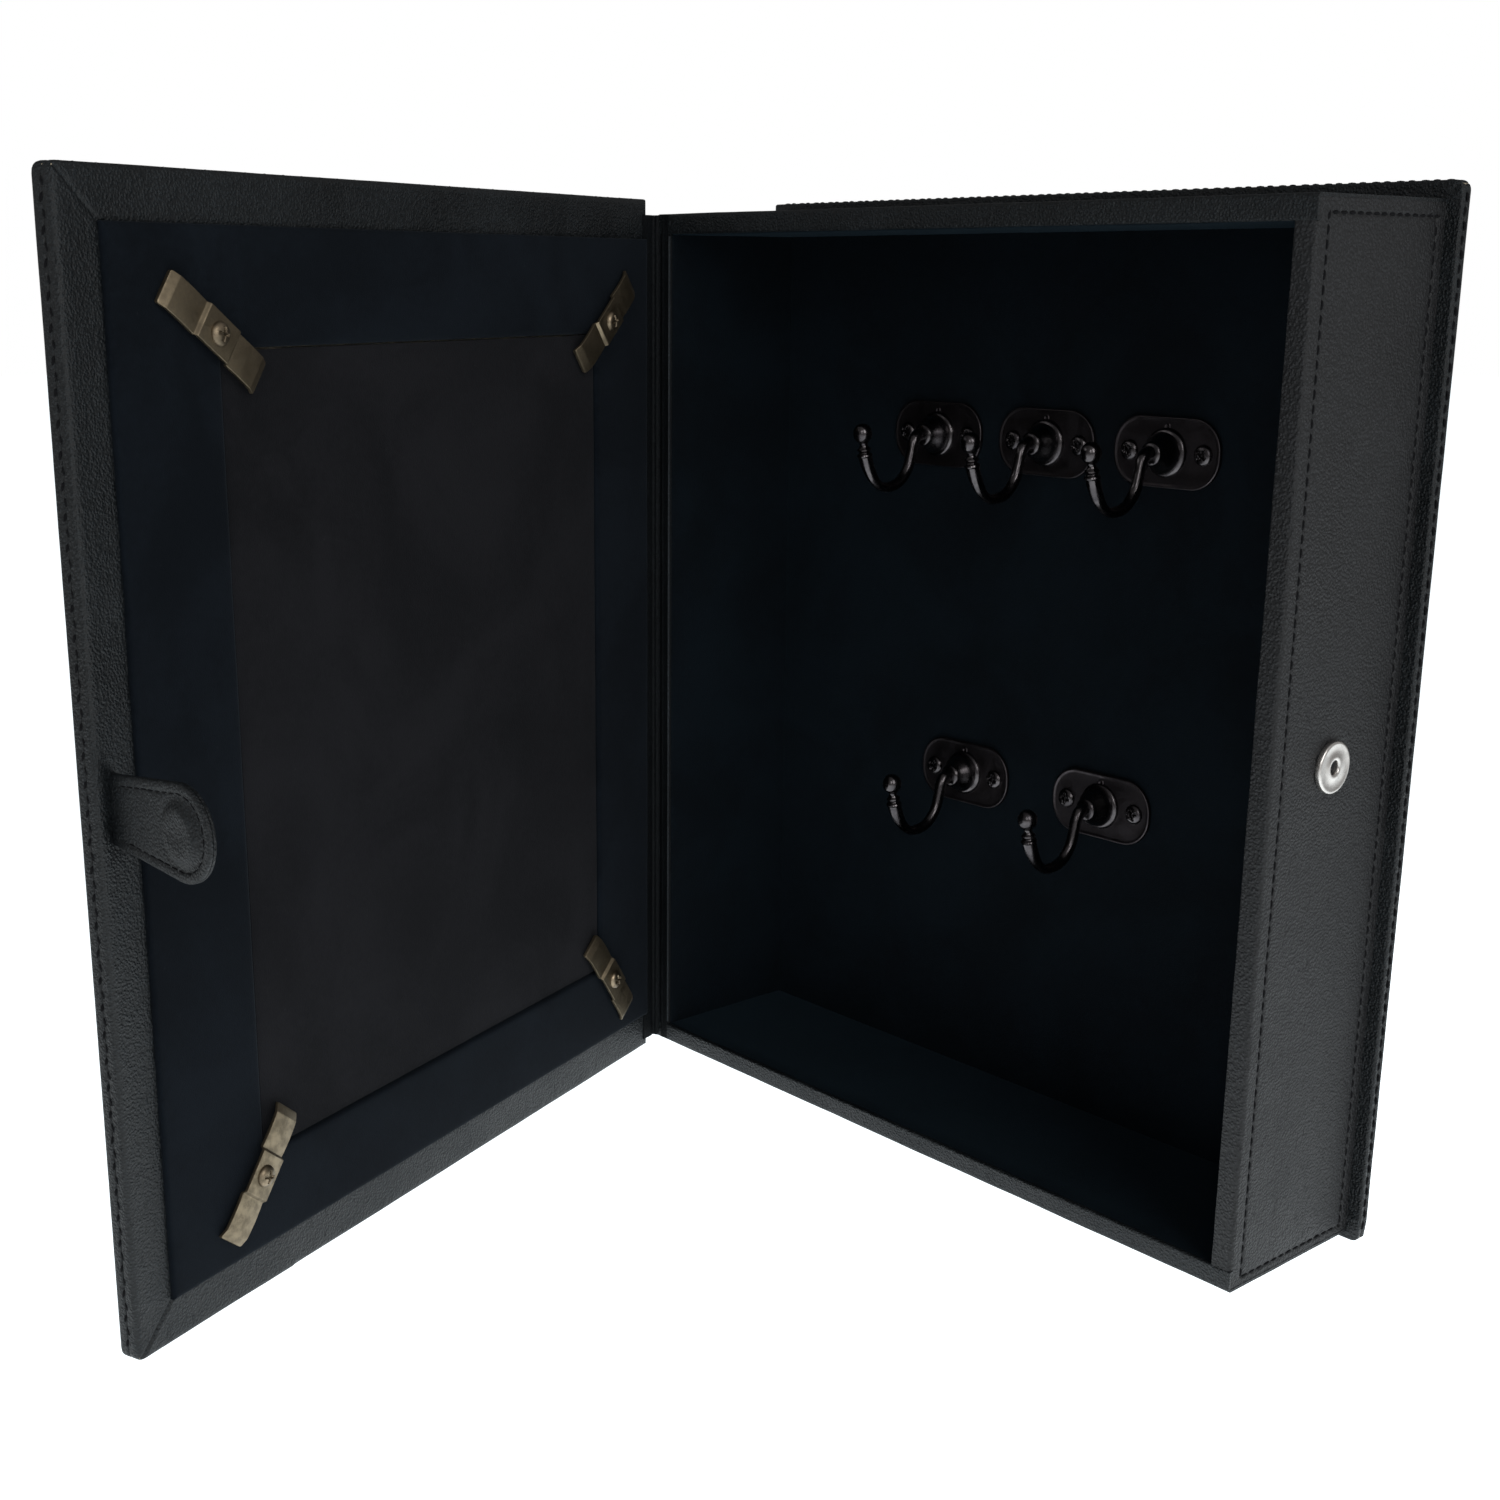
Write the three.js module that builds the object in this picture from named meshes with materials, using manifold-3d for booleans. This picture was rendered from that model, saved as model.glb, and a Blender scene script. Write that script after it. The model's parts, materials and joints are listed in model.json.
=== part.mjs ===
import * as THREE from "three";
import { mergeVertices } from "three/addons/utils/BufferGeometryUtils.js";
import Module from "manifold-3d";

const wasm = await Module();
wasm.setup();

// All sizes are in millimetres. X runs along the box to its fore-edge, Y to its back, Z up.
// The origin is the middle of the back board's bottom edge, in line with the middle of the tray.

// The tray.
const TRAY_W = 293;
const TRAY_H = 343;
const TRAY_D = 68.5;
const WALL = 5.6;
const FLOOR = 2.5;

// Skins.
const LEATHER = 1;
const LINING = 1;
const SPINE_SKIN = 1.2;
const MARGIN = 14.7;

// The boards and how far they stand past the tray.
const BOARD = 5;
const FOOT = 3;
const TOP_SQUARE = 5.5;
const FORE_SQUARE = 5;
const SPINE_SQUARE = 7;
const SPINE_BOARD = 5;
const SPINE_GROOVE = 7;
const LEATHER_ROUND = 0.9;

// The cover and its hinge line.
const COVER_T = 8.5;
const COVER_OVERHANG = 10.4;
const COVER_GAP = 3.5;
const HINGE_OUT = 1;
const HINGE_START = 1.5;
const OPEN_AT_REST = 70;

// The picture in the cover, an eight by ten inch print with its glass and backing.
const PICTURE_W = 203.2;
const PICTURE_H = 254;
const PICTURE_SHIFT = 9.15;
const PICTURE_DROP = 1.75;
const PICTURE_FIT = 0.6;
const LIP = 6;
const LIP_T = 1.5;
const GLASS_T = 2;
const PRINT_T = 0.4;
const BACKING_BELOW = 1.1;
const SUEDE_T = 0.4;
const VELVET_RISE = 1.5;
const VELVET_HINGE_EDGE = 3.5;

// The turn buttons that hold the backing in.
const BUTTON_L = 46;
const BUTTON_W = 11;
const BUTTON_T = 1.2;
const BUTTON_RISE = 3.8;
const BUTTON_BOSS = 7;
const BUTTON_OUT = 5;
const LIP_RUN = 3;
const LIP_DROP = 1.3;

// The closing tab and its magnetic snap.
const TAB_BASE_W = 21.5;
const TAB_END_R = 14.25;
const TAB_LAYER = 1.2;
const TAB_SEAM = 0.2;
const TAB_EDGE = 6.1;
const TAB_LIFT = 1.6;
const TAB_TILT = 14;
const SNAP_REACH = 35.7;
const SNAP_R = 8.5;
const SNAP_PROUD = 1.8;
const SNAP_HOLE_R = 2.2;
const SNAP_SHEET = 0.4;
const STUD_T = 1;
const PIN_R = 1.9;
const PIN_L = 1.3;
const STEM_R = 1.5;
const WASHER_R = 6;
const WASHER_T = 0.5;
const BUMP_R = 9;
const BUMP_T = 0.7;

// The jewellery hooks.
const HOOK_TOP_DROP = 82;
const HOOK_LOW_RISE = 130;
const HOOK_TOP_PITCH = 53.5;
const HOOK_LOW_PITCH = 67;
const HOOK_LOW_SHIFT = 0.8;
const PLATE_H = 24.5;
const PLATE_T = 1.5;
const PLATE_CORNER = 11;
const PLATE_PIP_R = 1;
const PLATE_PIP_Z = 9;
const HOOK_SCREWS = 31;
const PLATE_END = 6.8;
const HOOK_SPIGOT_R = 2.8;
const HOOK_RING_R = 8.5;
const HOOK_RING_T = 1.6;
const HOOK_BOSS_R = 7.2;
const HOOK_BOSS_END_R = 4.4;
const HOOK_BOSS_L = 9;
const ARM_R = 1.8;
const COLLAR_R = 2.7;
const BALL_R = 3.55;

// Screws.
const SCREW_HEAD_R = 3.7;
const SCREW_HEAD_T = 1.5;
const SCREW_R = 1.5;
const SCREW_L = 4.6;
const CROSS_L = 4;
const CROSS_W = 0.8;
const CROSS_T = 0.7;

// Room left between neighbours.
const SEAT = 0.05;
const CLEAR = 0.15;
const GAP = 0.3;

// Planes that several pieces share.
const RIGHT = TRAY_W / 2;
const LEFT = -TRAY_W / 2;
const BOTTOM = FOOT;
const TOP = FOOT + TRAY_H;
const BOARDS_TOP = TOP + TOP_SQUARE;
const BACK_FACE = BOARD / 2;
const TRAY_BACK = -BOARD / 2;
const RIM = TRAY_BACK - TRAY_D;
const WALL_FRONT = RIM + LEATHER;
const FLOOR_FRONT = TRAY_BACK - FLOOR;
const LINING_FRONT = FLOOR_FRONT - LINING;
const WALL_OUT_X = RIGHT - LEATHER;
const WALL_IN_X = WALL_OUT_X - WALL;
const INSIDE_X = WALL_IN_X - LINING;
const WALL_LOW = BOTTOM + LEATHER;
const WALL_HIGH = TOP - LEATHER;
const FLOOR_LOW = WALL_LOW + WALL;
const FLOOR_HIGH = WALL_HIGH - WALL;
const INSIDE_LOW = FLOOR_LOW + LINING;
const INSIDE_HIGH = FLOOR_HIGH - LINING;
const HINGE_X = LEFT - HINGE_OUT;
const HINGE_Y = RIM - COVER_GAP;
const COVER_END = RIGHT + COVER_OVERHANG - HINGE_X;
const PICTURE_X = (HINGE_START + COVER_END) / 2 - PICTURE_SHIFT;
const PICTURE_Z = BOARDS_TOP / 2 - PICTURE_DROP;
const SNAP_Y = HINGE_Y + SNAP_REACH;
const SNAP_Z = BOTTOM + TRAY_H / 2;
const HOOK_TOP_Z = TOP - HOOK_TOP_DROP;
const HOOK_LOW_Z = BOTTOM + HOOK_LOW_RISE;
const PLATE_W = HOOK_SCREWS + PLATE_END * 2;

// Surfaces.
const leather = { color: 0x2f383b, roughness: 0.55, metalness: 0 };
const velvet = { color: 0x10182a, roughness: 1, metalness: 0 };
const suede = { color: 0x1c1b1d, roughness: 0.95, metalness: 0 };
const card = { color: 0x8a7a62, roughness: 0.9, metalness: 0 };
const print = { color: 0xd8d4cc, roughness: 0.6, metalness: 0 };
const glass = { color: 0xcfe0e0, roughness: 0.05, metalness: 0 };
const brass = { color: 0x6d6046, roughness: 0.4, metalness: 1 };
const nickel = { color: 0xb0aca4, roughness: 0.3, metalness: 1 };
const magnet = { color: 0x3a3a3c, roughness: 0.5, metalness: 1 };
const bronze = { color: 0x161412, roughness: 0.35, metalness: 1 };

// A closed solid for joining and cutting.
function solid(geometry) {
  const bare = geometry.clone();
  bare.deleteAttribute("normal");
  bare.deleteAttribute("uv");
  const merged = mergeVertices(bare, 1e-4);
  const vertProperties = new Float32Array(merged.attributes.position.array);
  const triVerts = new Uint32Array(merged.index.array);
  return new wasm.Manifold(new wasm.Mesh({ numProp: 3, vertProperties, triVerts }));
}

function geometryOf(body) {
  const mesh = body.getMesh();
  const geometry = new THREE.BufferGeometry();
  geometry.setAttribute("position", new THREE.BufferAttribute(new Float32Array(mesh.vertProperties), 3));
  geometry.setIndex(new THREE.BufferAttribute(new Uint32Array(mesh.triVerts), 1));
  const flat = geometry.toNonIndexed();
  flat.computeVertexNormals();
  return flat;
}

function cut(geometry, ...tools) {
  return geometryOf(tools.reduce((body, tool) => body.subtract(solid(tool)), solid(geometry)));
}

function join(geometry, ...others) {
  return geometryOf(others.reduce((body, other) => body.add(solid(other)), solid(geometry)));
}

function common(geometry, other) {
  return geometryOf(solid(geometry).intersect(solid(other)));
}

// A block between two corners.
function slab(x0, x1, y0, y1, z0, z1) {
  const geometry = new THREE.BoxGeometry(1, 1, 1);
  const p = geometry.attributes.position;
  for (let i = 0; i < p.count; i++) {
    const x = p.getX(i) < 0 ? x0 : x1;
    const y = p.getY(i) < 0 ? y0 : y1;
    p.setXYZ(i, x, y, p.getZ(i) < 0 ? z0 : z1);
  }
  return geometry;
}

// An outline in X and Z with round corners.
function roundedOutline(x0, x1, z0, z1, r) {
  const s = new THREE.Shape();
  s.moveTo(x0 + r, z0);
  s.lineTo(x1 - r, z0);
  s.absarc(x1 - r, z0 + r, r, -Math.PI / 2, 0, false);
  s.lineTo(x1, z1 - r);
  s.absarc(x1 - r, z1 - r, r, 0, Math.PI / 2, false);
  s.lineTo(x0 + r, z1);
  s.absarc(x0 + r, z1 - r, r, Math.PI / 2, Math.PI, false);
  s.lineTo(x0, z0 + r);
  s.absarc(x0 + r, z0 + r, r, Math.PI, Math.PI * 1.5, false);
  return s;
}

// An outline in X and Z given thickness from y0 to y1, with its edges rounded by edge.
function sheet(outline, y0, y1, edge, curveSegments) {
  const bevel = { bevelThickness: edge, bevelSize: edge, bevelOffset: -edge, bevelSegments: 2 };
  const depth = y1 - y0 - 2 * edge;
  const shape = { depth, curveSegments, steps: 1, bevelEnabled: edge > 0, ...bevel };
  const geometry = new THREE.ExtrudeGeometry(outline, shape);
  geometry.rotateX(Math.PI / 2);
  geometry.translate(0, y1 - edge, 0);
  return geometry;
}

// A turned shape about Z from radius and height pairs that close on themselves or on the axis.
function turned(pairs, segments) {
  const points = pairs.map(([r, h]) => new THREE.Vector2(r, h));
  const closed = pairs[0][0] > 0 ? [...points, points[0].clone()] : points;
  const area = THREE.ShapeUtils.area(closed);
  const geometry = new THREE.LatheGeometry(area > 0 ? closed : closed.reverse(), segments);
  geometry.rotateX(Math.PI / 2);
  return geometryOf(solid(geometry));
}

// A straight round hole or pin about Z.
function rod(r, h0, h1, segments) {
  return turned([[0, h0], [r, h0], [r, h1], [0, h1]], segments);
}

// Turns a shape made about Z so that its axis points along -Y, at x, y, z.
function facingFront(geometry, x, y, z) {
  const turnedShape = geometry.clone();
  turnedShape.rotateX(Math.PI / 2);
  turnedShape.translate(x, y, z);
  return turnedShape;
}

function facingBack(geometry, x, y, z) {
  const turnedShape = geometry.clone();
  turnedShape.rotateX(-Math.PI / 2);
  turnedShape.translate(x, y, z);
  return turnedShape;
}

function facingRight(geometry, x, y, z) {
  const turnedShape = geometry.clone();
  turnedShape.rotateY(Math.PI / 2);
  turnedShape.translate(x, y, z);
  return turnedShape;
}

function place(group, name, geometry, surface) {
  const mesh = new THREE.Mesh(geometry, new THREE.MeshStandardMaterial(surface));
  mesh.name = name;
  group.add(mesh);
  return mesh;
}

// The back board and the hide turned in over its edges.
function addBackBoard(group) {
  const x0 = LEFT - SPINE_SQUARE;
  const x1 = RIGHT + FORE_SQUARE;
  const core = [x0 + LEATHER, x1 - LEATHER, TRAY_BACK + LEATHER, BACK_FACE - LEATHER];
  const coreSlab = slab(...core, LEATHER, BOARDS_TOP - LEATHER);
  const outline = roundedOutline(x0, x1, 0, BOARDS_TOP, LEATHER_ROUND * 1.2);
  const hide = sheet(outline, TRAY_BACK, BACK_FACE, LEATHER_ROUND, 2);
  const turnIn = [x0 + MARGIN, x1 - MARGIN, TRAY_BACK - LEATHER, TRAY_BACK + LEATHER];
  const window = slab(...turnIn, MARGIN, BOARDS_TOP - MARGIN);
  place(group, "back_board", coreSlab, card);
  place(group, "back_board_leather", cut(hide, coreSlab, window), leather);
}

// The spine board on the tray's hinge side, under its own width of the hide.
function addSpine(group) {
  const x0 = LEFT - SPINE_BOARD;
  const y0 = RIM + SPINE_GROOVE;
  const board = slab(x0, LEFT, y0 + SPINE_SKIN, TRAY_BACK, BOTTOM + LEATHER, TOP - LEATHER);
  const hide = slab(x0 - SPINE_SKIN, LEFT, y0, TRAY_BACK, BOTTOM, TOP);
  place(group, "spine_board", board, card);
  place(group, "spine_leather", cut(hide, board), leather);
}

// Four butted walls round a floor board.
function addTray(group) {
  const long = [WALL_FRONT, TRAY_BACK];
  place(group, "tray_wall_top", slab(-WALL_OUT_X, WALL_OUT_X, ...long, FLOOR_HIGH, WALL_HIGH), card);
  place(group, "tray_wall_bottom", slab(-WALL_OUT_X, WALL_OUT_X, ...long, WALL_LOW, FLOOR_LOW), card);
  place(group, "tray_wall_left", slab(-WALL_OUT_X, -WALL_IN_X, ...long, FLOOR_LOW, FLOOR_HIGH), card);
  const right = slab(WALL_IN_X, WALL_OUT_X, ...long, FLOOR_LOW, FLOOR_HIGH);
  const pocket = rod(WASHER_R + GAP, -SNAP_PROUD - LEATHER, 0, 32);
  place(group, "tray_wall_right", cut(right, facingRight(pocket, WALL_OUT_X, SNAP_Y, SNAP_Z)), card);
  const board = slab(-WALL_IN_X, WALL_IN_X, FLOOR_FRONT, TRAY_BACK, FLOOR_LOW, FLOOR_HIGH);
  place(group, "tray_floor", cut(board, ...hookScrewHoles(FLOOR_FRONT, TRAY_BACK)), card);
}

// Velvet on the floor, and one band of it round the inside of the walls.
function addTrayLining(group) {
  const floor = slab(-INSIDE_X, INSIDE_X, LINING_FRONT, FLOOR_FRONT, INSIDE_LOW, INSIDE_HIGH);
  place(group, "floor_lining", cut(floor, ...hookScrewHoles(LINING_FRONT, FLOOR_FRONT)), velvet);
  const band = slab(-WALL_IN_X, WALL_IN_X, WALL_FRONT, FLOOR_FRONT, FLOOR_LOW, FLOOR_HIGH);
  const hollow = [WALL_FRONT - LEATHER, FLOOR_FRONT + LEATHER];
  const inside = slab(-INSIDE_X, INSIDE_X, ...hollow, INSIDE_LOW, INSIDE_HIGH);
  place(group, "wall_lining", cut(band, inside), velvet);
}

// Leather on the tray's sides, each strip turned over the rim to the lining.
function addTrayLeather(group) {
  const side = [WALL_FRONT, TRAY_BACK, WALL_LOW, WALL_HIGH];
  const rim = [RIM, WALL_FRONT, INSIDE_LOW, INSIDE_HIGH];
  const topSkin = slab(LEFT, RIGHT, RIM, TRAY_BACK, WALL_HIGH, TOP);
  const topRim = slab(LEFT, RIGHT, RIM, WALL_FRONT, INSIDE_HIGH, TOP);
  place(group, "tray_leather_top", join(topSkin, topRim), leather);
  const lowSkin = slab(LEFT, RIGHT, RIM, TRAY_BACK, BOTTOM, WALL_LOW);
  const lowRim = slab(LEFT, RIGHT, RIM, WALL_FRONT, BOTTOM, INSIDE_LOW);
  place(group, "tray_leather_bottom", join(lowSkin, lowRim), leather);
  const rightHide = join(slab(WALL_OUT_X, RIGHT, ...side), slab(INSIDE_X, RIGHT, ...rim));
  const eyelet = rod(SNAP_HOLE_R + SNAP_SHEET + CLEAR, -GAP - LEATHER, GAP, 32);
  place(group, "tray_leather_right", cut(rightHide, facingRight(eyelet, RIGHT, SNAP_Y, SNAP_Z)), leather);
  const leftHide = join(slab(LEFT, -WALL_OUT_X, ...side), slab(LEFT, -INSIDE_X, ...rim));
  place(group, "inner_hinge_leather", leftHide, leather);
}

// The magnetic socket on the tray's side, held by an eyelet through its hide.
function addSnapSocket(group) {
  const inner = SNAP_HOLE_R + SNAP_SHEET;
  const low = -LEATHER - WASHER_T - SEAT * 2;
  const cup = [
    [SNAP_HOLE_R, SNAP_PROUD],
    [SNAP_R - SNAP_SHEET, SNAP_PROUD],
    [SNAP_R, SNAP_PROUD - SNAP_SHEET],
    [SNAP_R, SEAT],
    [SNAP_R - SNAP_SHEET, SEAT],
    [SNAP_R - SNAP_SHEET, SNAP_PROUD - SNAP_SHEET],
    [inner, SNAP_PROUD - SNAP_SHEET],
    [inner, low],
    [inner + STEM_R, low],
    [inner + STEM_R, low - SNAP_SHEET],
    [SNAP_HOLE_R, low - SNAP_SHEET],
  ];
  place(group, "snap_socket", facingRight(turned(cup, 40), RIGHT, SNAP_Y, SNAP_Z), nickel);
  const ringIn = inner + GAP;
  const ringOut = SNAP_R - SNAP_SHEET - GAP;
  const ringTop = SNAP_PROUD - SNAP_SHEET - SEAT;
  const ring = [[ringIn, SEAT], [ringOut, SEAT], [ringOut, ringTop], [ringIn, ringTop]];
  place(group, "snap_magnet", facingRight(turned(ring, 32), RIGHT, SNAP_Y, SNAP_Z), magnet);
  const washerTop = -LEATHER - SEAT;
  const washerIn = inner + CLEAR;
  const disc = [
    [washerIn, washerTop - WASHER_T],
    [WASHER_R, washerTop - WASHER_T],
    [WASHER_R, washerTop],
    [washerIn, washerTop],
  ];
  place(group, "snap_socket_washer", facingRight(turned(disc, 24), RIGHT, SNAP_Y, SNAP_Z), nickel);
}

// Where the five hooks stand on the lining.
const HOOKS = [
  [-HOOK_TOP_PITCH, HOOK_TOP_Z],
  [0, HOOK_TOP_Z],
  [HOOK_TOP_PITCH, HOOK_TOP_Z],
  [HOOK_LOW_SHIFT - HOOK_LOW_PITCH / 2, HOOK_LOW_Z],
  [HOOK_LOW_SHIFT + HOOK_LOW_PITCH / 2, HOOK_LOW_Z],
];

function hookScrewHoles(y0, y1) {
  const hole = rod(SCREW_R + CLEAR, -GAP, y1 - y0 + GAP, 10);
  const pairs = HOOKS.flatMap(([x, z]) => [[x - HOOK_SCREWS / 2, z], [x + HOOK_SCREWS / 2, z]]);
  return pairs.map(([x, z]) => facingFront(hole, x, y1, z));
}

// A round-headed screw with a cross slot, seated at height 0 and pointing down Z.
function screw() {
  const dome = [
    [0, -SCREW_L],
    [SCREW_R * 0.4, -SCREW_L],
    [SCREW_R, -SCREW_L + SCREW_R],
    [SCREW_R, 0],
    [SCREW_HEAD_R, 0],
    [SCREW_HEAD_R, SCREW_HEAD_T * 0.3],
    [SCREW_HEAD_R * 0.8, SCREW_HEAD_T * 0.75],
    [SCREW_HEAD_R * 0.45, SCREW_HEAD_T],
    [0, SCREW_HEAD_T],
  ];
  const z = [SCREW_HEAD_T - CROSS_T, SCREW_HEAD_T + GAP];
  const slotA = slab(-CROSS_L / 2, CROSS_L / 2, -CROSS_W / 2, CROSS_W / 2, ...z);
  const slotB = slab(-CROSS_W / 2, CROSS_W / 2, -CROSS_L / 2, CROSS_L / 2, ...z);
  return cut(turned(dome, 12), slotA, slotB);
}

// The flat plate behind a hook.
function hookPlate() {
  const outline = roundedOutline(-PLATE_W / 2, PLATE_W / 2, -PLATE_H / 2, PLATE_H / 2, PLATE_CORNER);
  const blank = sheet(outline, -PLATE_T, -SEAT, PLATE_T / 4, 4);
  const through = PLATE_T + GAP;
  const screwHole = rod(SCREW_R + CLEAR, -GAP, through, 10);
  const spigotHole = rod(HOOK_SPIGOT_R + CLEAR, -GAP, through, 16);
  const pip = rod(PLATE_PIP_R, -GAP, through, 8);
  const left = facingFront(screwHole, -HOOK_SCREWS / 2, 0, 0);
  const right = facingFront(screwHole, HOOK_SCREWS / 2, 0, 0);
  return cut(blank, left, right, facingFront(spigotHole, 0, 0, 0), facingFront(pip, 0, 0, PLATE_PIP_Z));
}

// The turned boss that carries a hook's arm, from the plate outward.
function hookBoss() {
  const face = PLATE_T + SEAT;
  const profile = [
    [0, SEAT * 2],
    [HOOK_SPIGOT_R, SEAT * 2],
    [HOOK_SPIGOT_R, face],
    [HOOK_RING_R, face],
    [HOOK_RING_R - 0.6, face + HOOK_RING_T],
    [HOOK_BOSS_R, face + HOOK_RING_T],
    [(HOOK_BOSS_R + HOOK_BOSS_END_R) / 2, face + HOOK_BOSS_L * 0.55],
    [HOOK_BOSS_END_R, face + HOOK_BOSS_L * 0.8],
    [HOOK_BOSS_END_R * 0.85, face + HOOK_BOSS_L],
    [0, face + HOOK_BOSS_L],
  ];
  return facingFront(turned(profile, 16), 0, 0, 0);
}

// The J-shaped arm, in distances out from the lining and up from the plate's middle.
const ARM_LINE = [
  [8, 0],
  [12, -0.4],
  [14.5, -4],
  [16, -9],
  [20, -14],
  [26, -17],
  [32, -17.5],
  [36.5, -14.5],
  [39.5, -10],
  [41.2, -5.8],
];
const ARM_END = ARM_LINE[ARM_LINE.length - 1];
const FINIAL_TILT = 0.17;

function hookFinial() {
  const r = ARM_R * 0.7;
  const profile = [
    [0, -COLLAR_R / 2],
    [r, -COLLAR_R / 2],
    [COLLAR_R, 0],
    [COLLAR_R, 0.8],
    [r, 1.6],
    [COLLAR_R * 0.9, 3.6],
    [r, 5],
    [BALL_R * 0.8, 6.4],
    [BALL_R, 8.6],
    [BALL_R * 0.75, 11],
    [0, 12.2],
  ];
  const shape = turned(profile, 10);
  shape.rotateX(FINIAL_TILT);
  shape.translate(0, -ARM_END[0], ARM_END[1]);
  return shape;
}

function hookArm() {
  const line = ARM_LINE.map(([out, up]) => new THREE.Vector3(0, -out, up));
  const extrudePath = new THREE.CatmullRomCurve3(line, false, "centripetal");
  const section = new THREE.Shape().absarc(0, 0, ARM_R, 0, Math.PI * 2, false);
  const rodShape = new THREE.ExtrudeGeometry(section, { steps: 16, curveSegments: 4, extrudePath });
  return join(hookBoss(), rodShape, hookFinial());
}

function addHooks(group) {
  const plate = hookPlate();
  const arm = hookArm();
  const screwShape = facingFront(screw(), 0, -PLATE_T - SEAT, 0);
  HOOKS.forEach(([x, z], i) => {
    const hook = new THREE.Group();
    hook.position.set(x, LINING_FRONT, z);
    group.add(hook);
    const n = i + 1;
    place(hook, `hook_${n}_plate`, plate.clone(), bronze);
    place(hook, `hook_${n}_arm`, arm.clone(), bronze);
    place(hook, `hook_${n}_screw_left`, screwShape.clone(), bronze).position.x = -HOOK_SCREWS / 2;
    place(hook, `hook_${n}_screw_right`, screwShape.clone(), bronze).position.x = HOOK_SCREWS / 2;
  });
}

// Where the turn buttons' screws stand, just outside the backing's corners, and their angles.
const SCREW_X0 = PICTURE_X - PICTURE_W / 2 - BUTTON_OUT;
const SCREW_X1 = PICTURE_X + PICTURE_W / 2 + BUTTON_OUT;
const SCREW_Z0 = PICTURE_Z - PICTURE_H / 2 - BUTTON_OUT;
const SCREW_Z1 = PICTURE_Z + PICTURE_H / 2 + BUTTON_OUT;
const BUTTONS = [
  ["top_fore", SCREW_X1, SCREW_Z1, 36],
  ["top_hinge", SCREW_X0, SCREW_Z1, 141],
  ["bottom_fore", SCREW_X1, SCREW_Z0, -50],
  ["bottom_hinge", SCREW_X0, SCREW_Z0, -127],
];

function buttonHoles(r, y0, y1) {
  const hole = rod(r, -GAP, y1 - y0 + GAP, 12);
  return BUTTONS.map(([, x, z]) => facingBack(hole, x, y0, z));
}

// The cover's own frame: its turned hide, core board, picture, backing and velvet.
function addCover(group) {
  const x0 = HINGE_START;
  const x1 = COVER_END;
  const face = -LEATHER;
  const front = -COVER_T;
  const halfW = PICTURE_W / 2 + PICTURE_FIT;
  const halfH = PICTURE_H / 2 + PICTURE_FIT;
  const bay = [PICTURE_X - halfW, PICTURE_X + halfW];
  const bayZ = [PICTURE_Z - halfH, PICTURE_Z + halfH];
  const view = [bay[0] + LIP, bay[1] - LIP];
  const viewZ = [bayZ[0] + LIP, bayZ[1] - LIP];
  const lipBack = front + LEATHER + LIP_T;
  const skin = LEATHER + SEAT;
  const coreX = [x0 + skin, x1 - skin];
  const core = slab(...coreX, front + skin, face - SEAT, skin, BOARDS_TOP - skin);
  const bayCut = slab(...bay, lipBack, COVER_T, ...bayZ);
  const grow = [view[0] - LEATHER - SEAT, view[1] + LEATHER + SEAT];
  const growZ = [viewZ[0] - LEATHER - SEAT, viewZ[1] + LEATHER + SEAT];
  const viewCut = slab(...grow, -COVER_T * 2, 0, ...growZ);
  const holes = buttonHoles(SCREW_R + CLEAR, -SCREW_L, LEATHER);
  const slotX = COVER_END - TAB_EDGE;
  const slotHalf = TAB_BASE_W / 2 + GAP;
  const slot = slab(slotX - TAB_LAYER, slotX + TAB_LAYER, face, LEATHER, SNAP_Z - slotHalf, SNAP_Z + slotHalf);
  place(group, "cover_frame", cut(core, bayCut, viewCut, ...holes), card);

  const outline = roundedOutline(x0, x1, 0, BOARDS_TOP, LEATHER_ROUND * 1.2);
  const hide = sheet(outline, front, 0, LEATHER_ROUND, 2);
  const inner = slab(x0 + LEATHER, x1 - LEATHER, front + LEATHER, face, LEATHER, BOARDS_TOP - LEATHER);
  const turnIn = slab(VELVET_HINGE_EDGE - SEAT * 2, x1 - MARGIN, face - SEAT, COVER_T, MARGIN, BOARDS_TOP - MARGIN);
  const lining = slab(...grow, front, lipBack - SEAT, ...growZ);
  const throat = slab(...view, -COVER_T * 2, 0, ...viewZ);
  const hollow = cut(hide, cut(inner, lining), turnIn, throat, slot, ...holes);
  place(group, "cover_leather", hollow, leather);

  addPicture(group, lipBack);

  const panel = slab(VELVET_HINGE_EDGE + SEAT, x1 - MARGIN - GAP, face, VELVET_RISE, MARGIN + GAP, BOARDS_TOP - MARGIN - GAP);
  const panelHoles = buttonHoles(SCREW_R + CLEAR, face, VELVET_RISE);
  place(group, "velvet_frame", cut(panel, slab(...bay, -COVER_T, COVER_T, ...bayZ), ...panelHoles), velvet);
}

// Glass, print, backing board and its suede, stacked in the bay from the lip to the inside.
function addPicture(group, lipBack) {
  const x = [PICTURE_X - PICTURE_W / 2, PICTURE_X + PICTURE_W / 2];
  const z = [PICTURE_Z - PICTURE_H / 2, PICTURE_Z + PICTURE_H / 2];
  const top = VELVET_RISE - BACKING_BELOW;
  const backing = top - lipBack - GLASS_T - PRINT_T - SUEDE_T - SEAT * 4;
  const layers = [
    ["glass_pane", GLASS_T, glass],
    ["picture_insert", PRINT_T, print],
    ["backing_board", backing, card],
    ["backing_suede", SUEDE_T, suede],
  ];
  let y = lipBack + SEAT;
  layers.forEach(([name, thickness, surface]) => {
    place(group, name, slab(...x, y, y + thickness, ...z), surface);
    y += thickness + SEAT;
  });
}

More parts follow.
